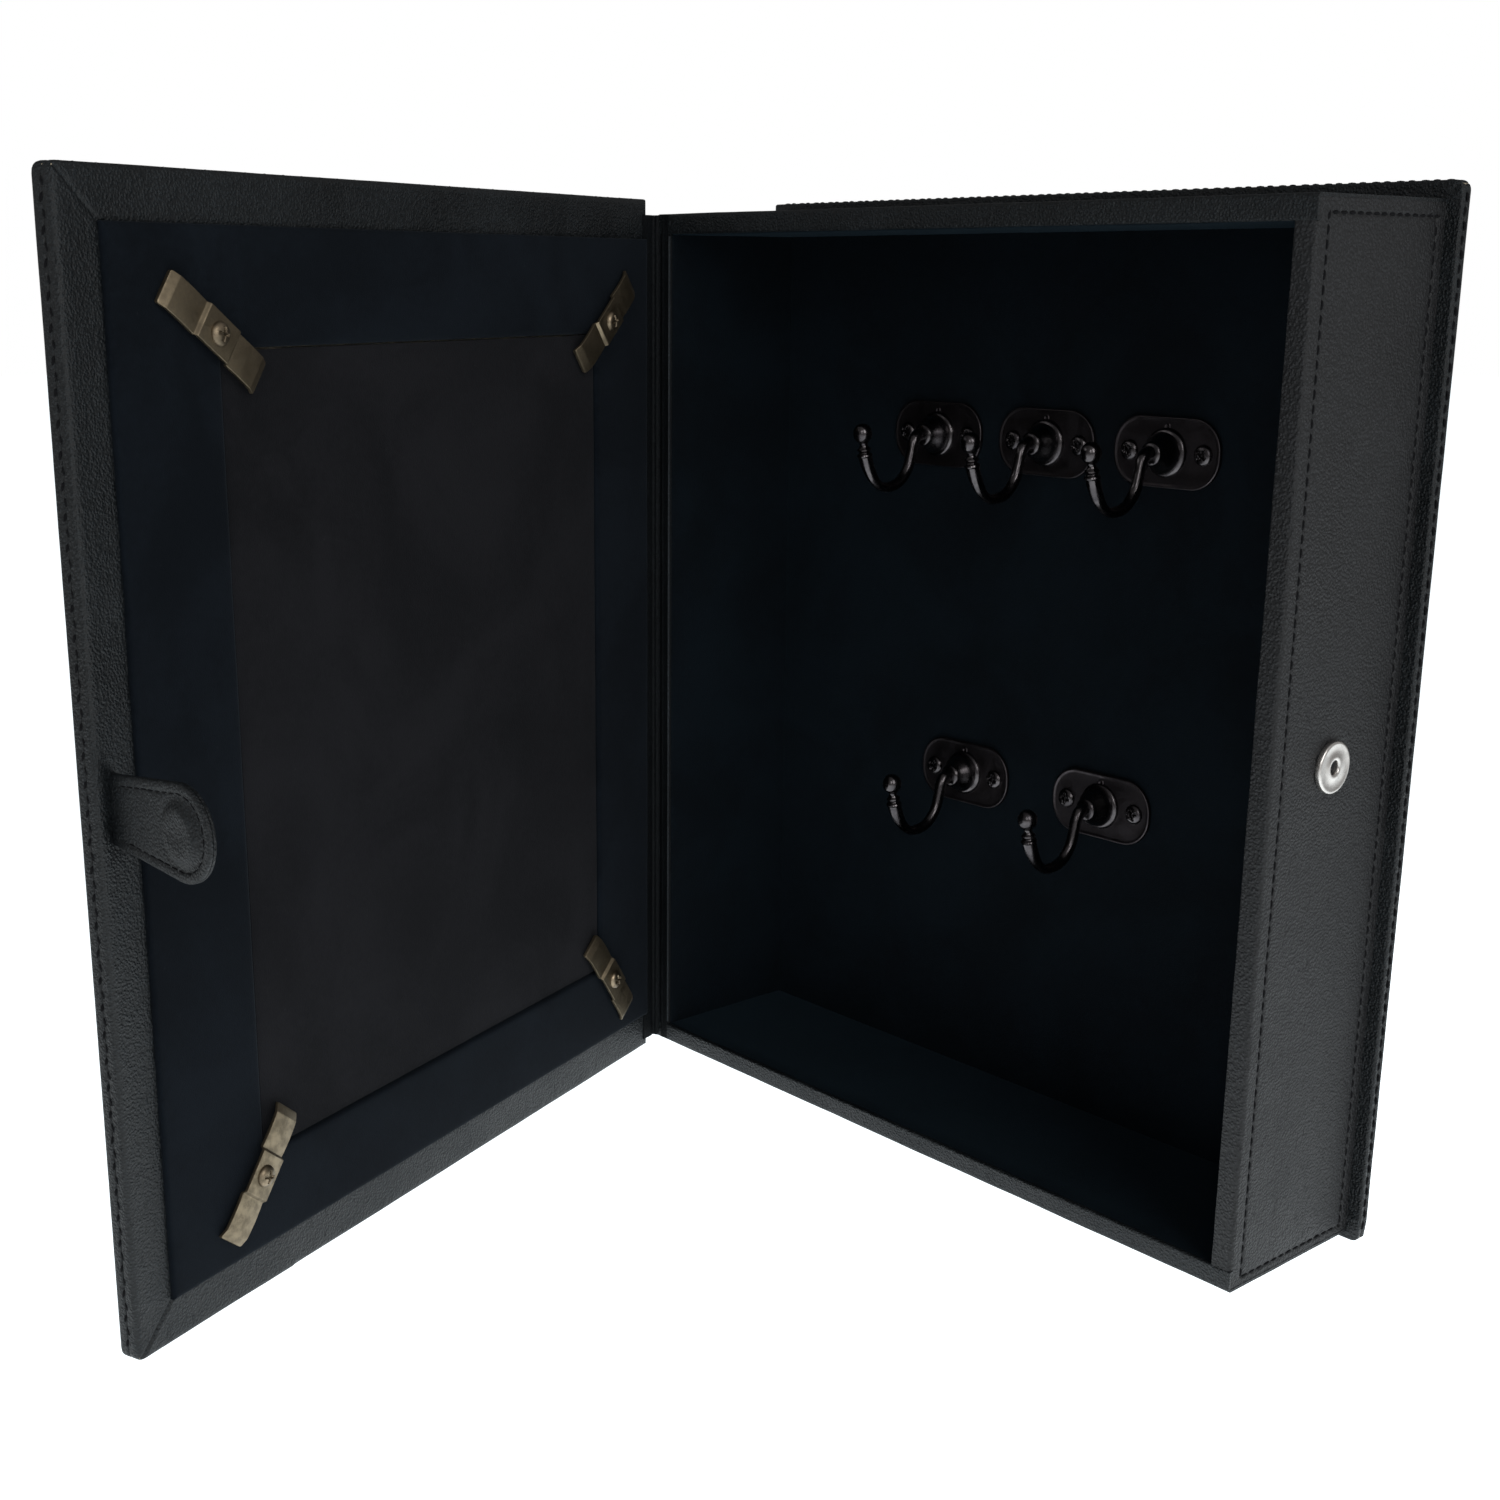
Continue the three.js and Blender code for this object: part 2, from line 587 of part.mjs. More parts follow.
// A strip seen edge on: flat arms, a raised middle and turned-down ends, cut to a rounded outline.
function turnButton() {
  const half = BUTTON_L / 2;
  const side = new THREE.Shape();
  const armTop = LIP_DROP + BUTTON_T;
  const slope = BUTTON_BOSS + BUTTON_RISE - armTop;
  side.moveTo(-half, 0);
  side.lineTo(-half + LIP_RUN, LIP_DROP);
  side.lineTo(half - LIP_RUN, LIP_DROP);
  side.lineTo(half, 0);
  side.lineTo(half, BUTTON_T);
  side.lineTo(half - LIP_RUN, armTop);
  side.lineTo(slope, armTop);
  side.lineTo(BUTTON_BOSS, BUTTON_RISE);
  side.lineTo(-BUTTON_BOSS, BUTTON_RISE);
  side.lineTo(-slope, armTop);
  side.lineTo(-half + LIP_RUN, armTop);
  side.closePath();
  const strip = new THREE.ExtrudeGeometry(side, { depth: BUTTON_W, steps: 1, bevelEnabled: false });
  strip.translate(0, 0, -BUTTON_W / 2);
  const plan = roundedOutline(-half, half, -BUTTON_W / 2, BUTTON_W / 2, BUTTON_W * 0.3);
  const blank = common(strip, sheet(plan, -GAP, BUTTON_RISE + GAP, 0, 5));
  return cut(blank, facingBack(rod(SCREW_R + CLEAR, -GAP, BUTTON_RISE + GAP, 20), 0, 0, 0));
}

function addTurnButtons(group) {
  const button = turnButton();
  const rest = VELVET_RISE + GAP;
  const screwShape = facingBack(screwLonger(), 0, 0, 0);
  BUTTONS.forEach(([corner, x, z, angle]) => {
    const pivot = new THREE.Group();
    pivot.position.set(x, rest, z);
    group.add(pivot);
    place(pivot, `turn_button_${corner}`, button.clone(), brass).rotation.y = -THREE.MathUtils.degToRad(angle);
    const seat = place(pivot, `button_screw_${corner}`, screwShape.clone(), brass);
    seat.position.y = BUTTON_RISE + CLEAR;
  });
}

// The same screw with a shank long enough to pass the button and the velvet.
function screwLonger() {
  const extra = rod(SCREW_R, -SCREW_L - BUTTON_RISE, -SCREW_R * 2, 12);
  return join(screw(), extra);
}

// The paddle outline of the tab, from its base at the slot to its round end, in reach and Z.
function tabOutline(grow) {
  const half = TAB_BASE_W / 2 - grow;
  const reach = SNAP_REACH - TAB_LIFT;
  const r = TAB_END_R - grow;
  const away = Math.hypot(reach, half);
  const turn = Math.asin(r / away) - Math.atan2(half, reach);
  const run = Math.sqrt(away * away - r * r);
  const outline = new THREE.Shape();
  outline.moveTo(0, -half);
  outline.lineTo(run * Math.cos(turn), -half - run * Math.sin(turn));
  outline.absarc(reach, 0, r, -turnAngle(turn), turnAngle(turn), false);
  outline.lineTo(0, half);
  outline.closePath();
  return outline;
}

function turnAngle(turn) {
  return Math.PI / 2 + turn;
}

// One leather layer of the tab, from offset a to b across its thickness.
function tabLayer(a, b) {
  const layer = sheet(tabOutline(0), a, b, 0, 16);
  layer.rotateZ(Math.PI / 2);
  return layer;
}

function addTab(group) {
  const reach = SNAP_REACH - TAB_LIFT;
  const seam = TAB_SEAM / 2;
  const face = seam + TAB_LAYER;
  const onTab = (shape) => shape.clone().rotateY(Math.PI / 2).translate(0, reach, 0);
  const pocketTop = seam + WASHER_T + CLEAR;
  const bump = [
    [0, seam + GAP],
    [BUMP_R, seam + GAP],
    [BUMP_R, face],
    [BUMP_R * 0.85, face + BUMP_T * 0.7],
    [BUMP_R * 0.6, face + BUMP_T],
    [0, face + BUMP_T],
  ];
  const outer = join(tabLayer(-face, -seam), onTab(turned(bump, 32)));
  const pocket = onTab(rod(WASHER_R + CLEAR, -GAP, pocketTop, 32));
  place(group, "tab_outer_leather", cut(outer, pocket), leather);
  const lining = tabLayer(seam, face);
  const hole = onTab(rod(STEM_R + CLEAR, -face - GAP, GAP, 20));
  place(group, "tab_lining_leather", cut(lining, hole), leather);
  const under = face + SEAT;
  const stud = [
    [0, seam + WASHER_T],
    [STEM_R, seam + WASHER_T],
    [STEM_R, -under],
    [SNAP_R, -under],
    [SNAP_R, -under - STUD_T * 0.6],
    [SNAP_R - SNAP_SHEET, -under - STUD_T],
    [PIN_R, -under - STUD_T],
    [PIN_R, -under - STUD_T - PIN_L * 0.7],
    [PIN_R * 0.7, -under - STUD_T - PIN_L],
    [0, -under - STUD_T - PIN_L],
  ];
  place(group, "tab_snap_stud", onTab(turned(stud, 36)), nickel);
  const ring = [
    [STEM_R + CLEAR, seam],
    [WASHER_R, seam],
    [WASHER_R, seam + WASHER_T],
    [STEM_R + CLEAR, seam + WASHER_T],
  ];
  place(group, "tab_snap_washer", onTab(turned(ring, 24)), nickel);
}

const box = new THREE.Group();
const deg = THREE.MathUtils.degToRad;
addBackBoard(box);
addSpine(box);
addTray(box);
addTrayLining(box);
addTrayLeather(box);
addSnapSocket(box);
addHooks(box);

const cover = new THREE.Group();
cover.position.set(HINGE_X, HINGE_Y, 0);
cover.rotation.z = -deg(OPEN_AT_REST);
box.add(cover);
addCover(cover);
addTurnButtons(cover);

const tab = new THREE.Group();
tab.position.set(COVER_END - TAB_EDGE, TAB_LIFT, SNAP_Z);
tab.rotation.z = -deg(TAB_TILT);
cover.add(tab);
addTab(tab);

export default box;
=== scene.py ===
"""A leather jewelry box standing open: its hides, velvet, hooks, turn buttons and closing tab.

Sizes are in millimetres, in the frame of the board that carries each piece: X runs from the hinge
to the fore-edge, Y towards the back of the case or the inside of the cover, and Z up.
"""

import json
import math

import bmesh
import bpy
from mathutils import Matrix, Vector, noise
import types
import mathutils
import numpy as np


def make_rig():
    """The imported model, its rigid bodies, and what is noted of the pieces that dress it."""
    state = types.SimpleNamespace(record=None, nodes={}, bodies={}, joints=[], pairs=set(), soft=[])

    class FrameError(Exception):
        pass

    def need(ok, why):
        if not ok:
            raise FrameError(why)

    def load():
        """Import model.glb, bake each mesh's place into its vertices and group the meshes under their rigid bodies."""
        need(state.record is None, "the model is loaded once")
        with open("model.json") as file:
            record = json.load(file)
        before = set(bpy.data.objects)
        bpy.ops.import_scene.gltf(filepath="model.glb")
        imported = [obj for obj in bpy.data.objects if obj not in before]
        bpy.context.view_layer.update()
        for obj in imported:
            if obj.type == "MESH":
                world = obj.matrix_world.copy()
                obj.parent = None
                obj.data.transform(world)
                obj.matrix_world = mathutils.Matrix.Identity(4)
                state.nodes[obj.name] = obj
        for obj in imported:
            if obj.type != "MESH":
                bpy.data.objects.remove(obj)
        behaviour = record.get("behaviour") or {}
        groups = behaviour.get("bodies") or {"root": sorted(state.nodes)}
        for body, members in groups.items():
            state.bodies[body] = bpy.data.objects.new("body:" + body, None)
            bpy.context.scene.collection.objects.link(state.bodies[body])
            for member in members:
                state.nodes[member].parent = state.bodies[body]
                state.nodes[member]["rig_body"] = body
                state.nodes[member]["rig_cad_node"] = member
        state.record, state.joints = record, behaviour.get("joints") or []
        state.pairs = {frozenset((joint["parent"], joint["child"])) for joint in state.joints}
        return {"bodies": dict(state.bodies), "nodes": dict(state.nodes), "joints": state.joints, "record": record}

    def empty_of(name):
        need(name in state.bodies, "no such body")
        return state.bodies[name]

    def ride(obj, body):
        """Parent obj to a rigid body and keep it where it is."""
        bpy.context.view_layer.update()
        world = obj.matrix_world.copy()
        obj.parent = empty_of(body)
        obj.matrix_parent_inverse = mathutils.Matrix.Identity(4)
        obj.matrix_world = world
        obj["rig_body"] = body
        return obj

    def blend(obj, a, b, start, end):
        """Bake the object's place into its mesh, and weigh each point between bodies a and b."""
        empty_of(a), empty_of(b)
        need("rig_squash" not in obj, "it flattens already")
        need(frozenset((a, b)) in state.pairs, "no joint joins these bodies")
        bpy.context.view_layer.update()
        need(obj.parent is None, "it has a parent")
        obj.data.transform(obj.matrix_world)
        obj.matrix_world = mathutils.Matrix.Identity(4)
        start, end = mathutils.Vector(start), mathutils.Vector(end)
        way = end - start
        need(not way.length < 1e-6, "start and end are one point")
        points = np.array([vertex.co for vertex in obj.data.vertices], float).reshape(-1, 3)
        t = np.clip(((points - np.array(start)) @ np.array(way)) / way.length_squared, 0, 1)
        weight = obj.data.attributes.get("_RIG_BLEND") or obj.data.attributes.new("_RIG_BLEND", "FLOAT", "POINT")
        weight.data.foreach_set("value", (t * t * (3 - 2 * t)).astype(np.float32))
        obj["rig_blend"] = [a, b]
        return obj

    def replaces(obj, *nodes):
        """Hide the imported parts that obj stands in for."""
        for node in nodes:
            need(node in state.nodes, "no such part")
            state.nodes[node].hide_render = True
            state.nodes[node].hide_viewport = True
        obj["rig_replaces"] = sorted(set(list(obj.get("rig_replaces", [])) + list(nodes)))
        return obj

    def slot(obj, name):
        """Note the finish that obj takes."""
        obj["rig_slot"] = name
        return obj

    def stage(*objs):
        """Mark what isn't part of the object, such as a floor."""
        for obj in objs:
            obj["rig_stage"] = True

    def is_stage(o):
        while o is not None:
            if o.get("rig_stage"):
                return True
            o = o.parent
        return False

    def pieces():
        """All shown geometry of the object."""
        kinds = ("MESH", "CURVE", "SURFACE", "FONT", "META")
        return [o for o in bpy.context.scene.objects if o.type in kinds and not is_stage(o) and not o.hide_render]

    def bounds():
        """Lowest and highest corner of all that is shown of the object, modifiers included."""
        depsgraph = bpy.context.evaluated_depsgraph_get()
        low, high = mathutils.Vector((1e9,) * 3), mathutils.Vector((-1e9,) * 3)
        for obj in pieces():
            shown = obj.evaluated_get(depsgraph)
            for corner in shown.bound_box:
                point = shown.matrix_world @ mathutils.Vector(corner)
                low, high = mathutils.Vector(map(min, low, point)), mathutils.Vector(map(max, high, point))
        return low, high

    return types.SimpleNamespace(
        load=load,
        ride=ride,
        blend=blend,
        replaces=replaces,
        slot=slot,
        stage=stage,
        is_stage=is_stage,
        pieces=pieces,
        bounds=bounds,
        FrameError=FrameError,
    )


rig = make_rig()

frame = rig.load()
cad_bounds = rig.bounds()

# ---------------------------------------------------------------- frames and sizes from the CAD

MM = 0.001
JOINTS = {joint["name"]: joint for joint in frame["joints"]}
CORNERS = ("top_fore", "top_hinge", "bottom_fore", "bottom_hinge")
HOOKS = (1, 2, 3, 4, 5)


def joint_point(name):
    return Vector(JOINTS[name]["pos_m"])


def cover_turn():
    """How far the cover stands open, from the direction its turn buttons' screws point."""
    axis = JOINTS["turn_button_top_fore_spin"]["axis"]
    return math.atan2(axis[0], axis[1])


TAB_TILT = math.radians(14)
CASE = Matrix.Scale(MM, 4)
HINGE_FOOT = Vector((*joint_point("cover_hinge").xy, 0))
COVER_SPIN = Matrix.Rotation(-cover_turn(), 4, "Z")
COVER = Matrix.Translation(HINGE_FOOT) @ COVER_SPIN @ CASE
TAB = (
    Matrix.Translation(joint_point("tab_fold"))
    @ Matrix.Rotation(-cover_turn() - TAB_TILT, 4, "Z")
    @ CASE
)


def corners_in(place, node):
    """Lowest and highest corner of a CAD node, in mm, in one of the frames above."""
    back = place.inverted()
    points = [back @ v.co for v in frame["nodes"][node].data.vertices]
    low = Vector([min(p[axis] for p in points) for axis in range(3)])
    high = Vector([max(p[axis] for p in points) for axis in range(3)])
    return low, high


def button_place(corner):
    """The frame of a turn button: on its screw, with X along the strip."""
    pivot = joint_point(f"turn_button_{corner}_spin")
    back = COVER.inverted()
    centre = back @ pivot
    xx = zz = xz = 0.0
    for v in frame["nodes"][f"turn_button_{corner}"].data.vertices:
        p = back @ v.co - centre
        xx, zz, xz = xx + p.x * p.x, zz + p.z * p.z, xz + p.x * p.z
    angle = math.atan2(2 * xz, xx - zz) / 2
    return Matrix.Translation(pivot) @ COVER_SPIN @ Matrix.Rotation(-angle, 4, "Y") @ CASE


# ---------------------------------------------------------------- ways of making a shape


def smooth_step(t):
    t = min(max(t, 0.0), 1.0)
    return t * t * (3 - 2 * t)


def ridge(distance, width):
    """A rounded ridge of height 1 at distance 0."""
    return math.exp(-((distance / width) ** 2))


def ripple(p, length, seed=0.0):
    """A soft random wave over a place, from -1 to 1, with waves about length mm long."""
    return noise.noise(Vector((p[0] + seed * 31, p[1] + seed * 17, p[2] - seed * 23)) / length)


def board_lines(low, high, r, step, extra):
    """Mesh lines across one side of a soft-edged board, close together over its rounded edges."""
    around = [r - r * math.tan(math.radians(a)) for a in (45, 34, 23, 11, 0)]
    count = max(1, round((high - low - 2 * r) / step))
    middle = [low + r + (high - low - 2 * r) * k / count for k in range(1, count)]
    marks = [mark for mark in extra if low + r < mark < high - r]
    every = [low + a for a in around] + middle + marks + [high - a for a in around]
    return sorted({round(v, 3) for v in every})


def soft_board(low, high, r, step, extra=((), (), ()), shape=None):
    """A board or block with rounded edges. shape(point, normal) says how far a point stands proud."""
    low, high = Vector(low), Vector(high)
    lines = [board_lines(low[a], high[a], r, step, extra[a]) for a in range(3)]
    verts, index, faces = [], {}, []

    def corner(key):
        if key not in index:
            p = Vector([lines[a][key[a]] for a in range(3)])
            core = Vector([min(max(p[a], low[a] + r), high[a] - r) for a in range(3)])
            normal = (p - core).normalized()
            p = core + normal * r
            index[key] = len(verts)
            verts.append(p + normal * shape(p, normal) if shape else p)
        return index[key]

    for a in range(3):
        b, c = (a + 1) % 3, (a + 2) % 3
        for side in (0, len(lines[a]) - 1):
            for m in range(len(lines[b]) - 1):
                for n in range(len(lines[c]) - 1):
                    face = []
                    for dm, dn in ((0, 0), (1, 0), (1, 1), (0, 1)):
                        key = [0, 0, 0]
                        key[a], key[b], key[c] = side, m + dm, n + dn
                        face.append(corner(tuple(key)))
                    faces.append(face if side else face[::-1])
    return verts, faces


def loft(rings, capped=True, round_again=False):
    """Joins closed rings of equally many points. round_again joins the last ring to the first."""
    count = len(rings[0])
    verts = [Vector(p) for ring in rings for p in ring]
    faces = []
    last = len(rings) if round_again else len(rings) - 1
    for k in range(last):
        a, b = k * count, (k + 1) % len(rings) * count
        for i in range(count):
            j = (i + 1) % count
            faces.append((a + i, a + j, b + j, b + i))
    if capped and not round_again:
        faces.append(tuple(range(count))[::-1])
        faces.append(tuple(range(len(verts) - count, len(verts))))
    return verts, faces


NEAR_CORNER = (0.0, 0.35, 0.8, 1.6, 3.0, 5.5)


def rectangle_ring(rect, y, nx, nz):
    """Points round a rectangle in X and Z, closer together near its corners."""
    x0, x1, z0, z1 = rect
    corners = ((x0, z0), (x1, z0), (x1, z1), (x0, z1))
    ring = []
    for side in range(4):
        (ax, az), (bx, bz) = corners[side], corners[(side + 1) % 4]
        run = math.hypot(bx - ax, bz - az)
        count = nz if side % 2 else nx
        near = [d / run for d in NEAR_CORNER]
        inside = [
            near[-1] + (1 - 2 * near[-1]) * k / count for k in range(1, count)
        ]
        for t in near + inside + [1 - n for n in reversed(near[1:])]:
            ring.append(Vector((ax + (bx - ax) * t, y, az + (bz - az) * t)))
    return ring


def worn_corner(p, low, high, r):
    """Draws a board's corners in to a radius, seen from the front. Only the fore-edge ones wear."""
    across, up = high.x - p.x, min(p.z - low.z, high.z - p.z)
    a, b = r - across, r - up
    if a <= 0 or b <= 0:
        return p
    shrink = max(a, b) / math.hypot(a, b)
    x, rise = high.x - r + a * shrink, r - b * shrink
    z = low.z + rise if p.z - low.z < high.z - p.z else high.z - rise
    return Vector((x, p.y, z))


def frame_strip(section, nx, nz, shape=None):
    """Material run round a rectangle with mitred corners. section lists (rectangle, y)."""
    rings = [rectangle_ring(rect, y, nx, nz) for rect, y in section]
    if shape:
        rings = [[p + shape(p, k) for p in ring] for k, ring in enumerate(rings)]
    return loft(rings, capped=False, round_again=True)


def bent_line(points, bend, step, marks=()):
    """A line through points with its corners rounded by bend, cut every step and at the marks."""
    line = [Vector(points[0])]
    for before, here, after in zip(points, points[1:], points[2:]):
        before, here, after = Vector(before), Vector(here), Vector(after)
        towards, away = (before - here).normalized(), (after - here).normalized()
        reach = min(bend, (before - here).length * 0.49, (after - here).length * 0.49)
        a, b = here + towards * reach, here + away * reach
        for k in range(7):
            t = k / 6
            line.append(a * (1 - t) ** 2 + here * 2 * t * (1 - t) + b * t * t)
    line.append(Vector(points[-1]))
    lengths = [0.0]
    for a, b in zip(line, line[1:]):
        lengths.append(lengths[-1] + (b - a).length)
    places = set()
    for a, b in zip(lengths, lengths[1:]):
        parts = max(1, round((b - a) / step))
        places.update(round(a + (b - a) * k / parts, 3) for k in range(parts + 1))
    places.update(m for m in marks if 0 < m < lengths[-1])
    out = []
    for place in sorted(places):
        k = next((i for i in range(1, len(lengths)) if lengths[i] >= place - 1e-4), len(line) - 1)
        span = lengths[k] - lengths[k - 1]
        t = 0 if span < 1e-9 else (place - lengths[k - 1]) / span
        p = line[k - 1].lerp(line[k], min(max(t, 0), 1))
        if not out or (p - out[-1][0]).length > 0.02:
            out.append((p, place))
    return out


def upright(u, v, z):
    """A place on a line seen from above, at a height."""
    return Vector((u, v, z))


def hide_strip(line, stations, thick, at, proud=None):
    """Leather of one thickness whose face follows a bent line, drawn along its length.

    at(u, v, s) gives the point for a place on the line and a station; proud(run, s) lifts the face.
    The leather lies to the right of the line.
    """
    normals = []
    for i in range(len(line)):
        a, b = line[max(i - 1, 0)][0], line[min(i + 1, len(line) - 1)][0]
        run = (b - a).normalized()
        normals.append(Vector((-run.y, run.x)))
    rings = []
    for s in stations:
        face, under = [], []
        for (p, run), n in zip(line, normals):
            lift = proud(run, s) if proud else 0
            q, w = p + n * lift, p - n * thick
            face.append(at(q.x, q.y, s))
            under.append(at(w.x, w.y, s))
        rings.append(face + under[::-1])
    return loft(rings)


def turned(profile, segments):
    """A turned shape about Z from (radius, height) pairs, open ends closed on the axis."""
    verts, faces = [], []
    rings = []
    for r, h in profile:
        if r < 1e-6:
            rings.append([len(verts)])
            verts.append(Vector((0, 0, h)))
        else:
            rings.append(list(range(len(verts), len(verts) + segments)))
            for k in range(segments):
                a = 2 * math.pi * k / segments
                verts.append(Vector((r * math.cos(a), r * math.sin(a), h)))
    for a, b in zip(rings, rings[1:]):
        for k in range(segments):
            j = (k + 1) % segments
            if len(a) == 1 and len(b) > 1:
                faces.append((a[0], b[j], b[k]))
            elif len(b) == 1 and len(a) > 1:
                faces.append((a[k], a[j], b[0]))
            elif len(a) > 1:
                faces.append((a[k], a[j], b[j], b[k]))
    return verts, faces


def moved(shape, matrix):
    verts, faces = shape
    return [matrix @ v for v in verts], faces


def together(*shapes):
    """Several closed shapes as the parts of one piece."""
    verts, faces = [], []
    for v, f in shapes:
        faces += [tuple(i + len(verts) for i in face) for face in f]
        verts += v
    return verts, faces


def bent_rod(points, radius, segments, rings):
    """A round rod along a smooth curve that lies in one plane across X."""
    line = []
    count = len(points) - 1
    for k in range(rings + 1):
        t = k / rings * count
        i = min(int(t), count - 1)
        f = t - i
        p0, p1 = points[max(i - 1, 0)], points[i]
        p2, p3 = points[i + 1], points[min(i + 2, count)]
        line.append(
            (
                p1 * 2
                + (p2 - p0) * f
                + (p0 * 2 - p1 * 5 + p2 * 4 - p3) * f * f
                + (p1 * 3 - p0 - p2 * 3 + p3) * f**3
            )
            / 2
        )
    across = Vector((1, 0, 0))
    sections = []
    for k, p in enumerate(line):
        run = (line[min(k + 1, rings)] - line[max(k - 1, 0)]).normalized()
        up = run.cross(across)
        r = radius(k / rings)
        ring = []
        for j in range(segments):
            a = 2 * math.pi * j / segments
            ring.append(p + across * (r * math.cos(a)) + up * (r * math.sin(a)))
        sections.append(ring)
    return loft(sections)


STITCH_PITCH = 4.2
STITCH_LONG = 2.9
THREAD_R = 0.46
# Along a stitch, in its lengths: how far it rises, in thread radii, and how thick it is.
STITCH_SECTIONS = ((-0.5, -0.5, 0.5), (-0.36, 0.02, 0.9), (0, 0.2, 1), (0.36, 0.02, 0.9), (0.5, -0.5, 0.5))


def stitches(path, out, pitch=STITCH_PITCH, sway=0.0, thread=THREAD_R):
    """A row of stitches along a path. out is the direction away from the leather."""
    shapes = []
    out = Vector(out).normalized()
    spare, number = pitch * 0.5, 0
    for a, b in zip(path, path[1:]):
        a, b = Vector(a), Vector(b)
        length, run = (b - a).length, (b - a).normalized()
        side = run.cross(out)
        while spare < length - STITCH_LONG * 0.4:
            middle = a + run * spare + side * (sway * (1 if number % 2 else -1))
            slant = (run + side * sway * 0.5 * (1 if number % 2 else -1)).normalized()
            rings = []
            for t, rise, r in STITCH_SECTIONS:
                centre = middle + slant * (t * STITCH_LONG) + out * (rise * thread)
                ring = []
                for j in range(6):
                    w = math.pi * j / 3
                    ring.append(
                        centre
                        + side * (math.cos(w) * r * thread)
                        + out * (math.sin(w) * r * thread)
                    )
                rings.append(ring)
            shapes.append(loft(rings))
            spare += pitch
            number += 1
        spare -= length
    return together(*shapes)


def edge_stitches(low, high, y, inset, start, end, sway):
    """Stitches along a board's top, fore-edge and foot. start and end are left free near its corners."""
    near, far = low.x + start, high.x - end
    x, top, foot = high.x - inset, high.z - inset, low.z + inset
    return together(
        stitches([Vector((near, y, top)), Vector((far, y, top))], (0, 0, 1), sway=sway),
        stitches([Vector((x, y, high.z - end)), Vector((x, y, low.z + end))], (1, 0, 0), sway=sway),
        stitches([Vector((far, y, foot)), Vector((near, y, foot))], (0, 0, -1), sway=sway),
    )


def piece(name, shape, place, body, finish, slot, stands_for=(), sharp=42):
    """Makes the mesh, moves it into the shared frame, and fixes it to its body."""
    mesh = bpy.data.meshes.new(name)
    verts, faces = shape
    mesh.from_pydata([place @ v for v in verts], [], faces)
    work = bmesh.new()
    work.from_mesh(mesh)
    bmesh.ops.remove_doubles(work, verts=work.verts, dist=0.004 * MM)
    bmesh.ops.recalc_face_normals(work, faces=work.faces)
    work.to_mesh(mesh)
    work.free()
    mesh.shade_smooth()
    mesh.set_sharp_from_angle(angle=math.radians(sharp))
    mesh.materials.append(finish)
    made = bpy.data.objects.new(name, mesh)
    bpy.context.scene.collection.objects.link(made)
    if body:
        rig.ride(made, body)
    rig.slot(made, slot)
    if stands_for:
        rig.replaces(made, *stands_for)
    return made


# ---------------------------------------------------------------- finishes


class Finish:
    """A node tree that is filled in one short line at a time."""

    def __init__(self, tree):
        self.tree = tree

    def node(self, kind, **values):
        made = self.tree.nodes.new("ShaderNode" + kind)
        for key, value in values.items():
            setattr(made, key, value)
        return made

    def here(self):
        """The place in the piece's own frame."""
        return self.node("TexCoord").outputs["Object"]

    def join(self, output, socket):
        self.tree.links.new(output, socket)

    def maths(self, operation, a, b=None):
        made = self.node("Math", operation=operation)
        for value, socket in zip((a, b), made.inputs):
            if isinstance(value, (int, float)):
                socket.default_value = value
            elif value is not None:
                self.join(value, socket)
        return made.outputs[0]

    def waves(self, where, scale, detail=3.0, roughness=0.55, distortion=0.0):
        made = self.node("TexNoise")
        made.inputs["Scale"].default_value = scale
        made.inputs["Detail"].default_value = detail
        made.inputs["Roughness"].default_value = roughness
        made.inputs["Distortion"].default_value = distortion
        self.join(where, made.inputs["Vector"])
        return made.outputs["Fac"]

    def between(self, value, low, high, to_low=0.0, to_high=1.0):
        made = self.node("MapRange", interpolation_type="SMOOTHSTEP")
        self.join(value, made.inputs["Value"])
        for name, number in (
            ("From Min", low),
            ("From Max", high),
            ("To Min", to_low),
            ("To Max", to_high),
        ):
            made.inputs[name].default_value = number
        return made.outputs["Result"]

    def mix(self, factor, a, b):
        made = self.node("Mix", data_type="RGBA")
        self.join(factor, made.inputs[0])
        for value, socket in ((a, made.inputs[6]), (b, made.inputs[7])):
            if isinstance(value, tuple):
                socket.default_value = (*value, 1)
            else:
                self.join(value, socket)
        return made.outputs[2]


def effect(name, inputs, outputs):
    """An empty effect that several finishes share, and its two ends."""
    group = bpy.data.node_groups.new(name, "ShaderNodeTree")
    for label, value in inputs:
        socket = group.interface.new_socket(name=label, in_out="INPUT", socket_type="NodeSocketFloat")
        socket.default_value = value
    for label in outputs:
        group.interface.new_socket(name=label, in_out="OUTPUT", socket_type="NodeSocketFloat")
    work = Finish(group)
    start, end = group.nodes.new("NodeGroupInput"), group.nodes.new("NodeGroupOutput")
    return work, start, end


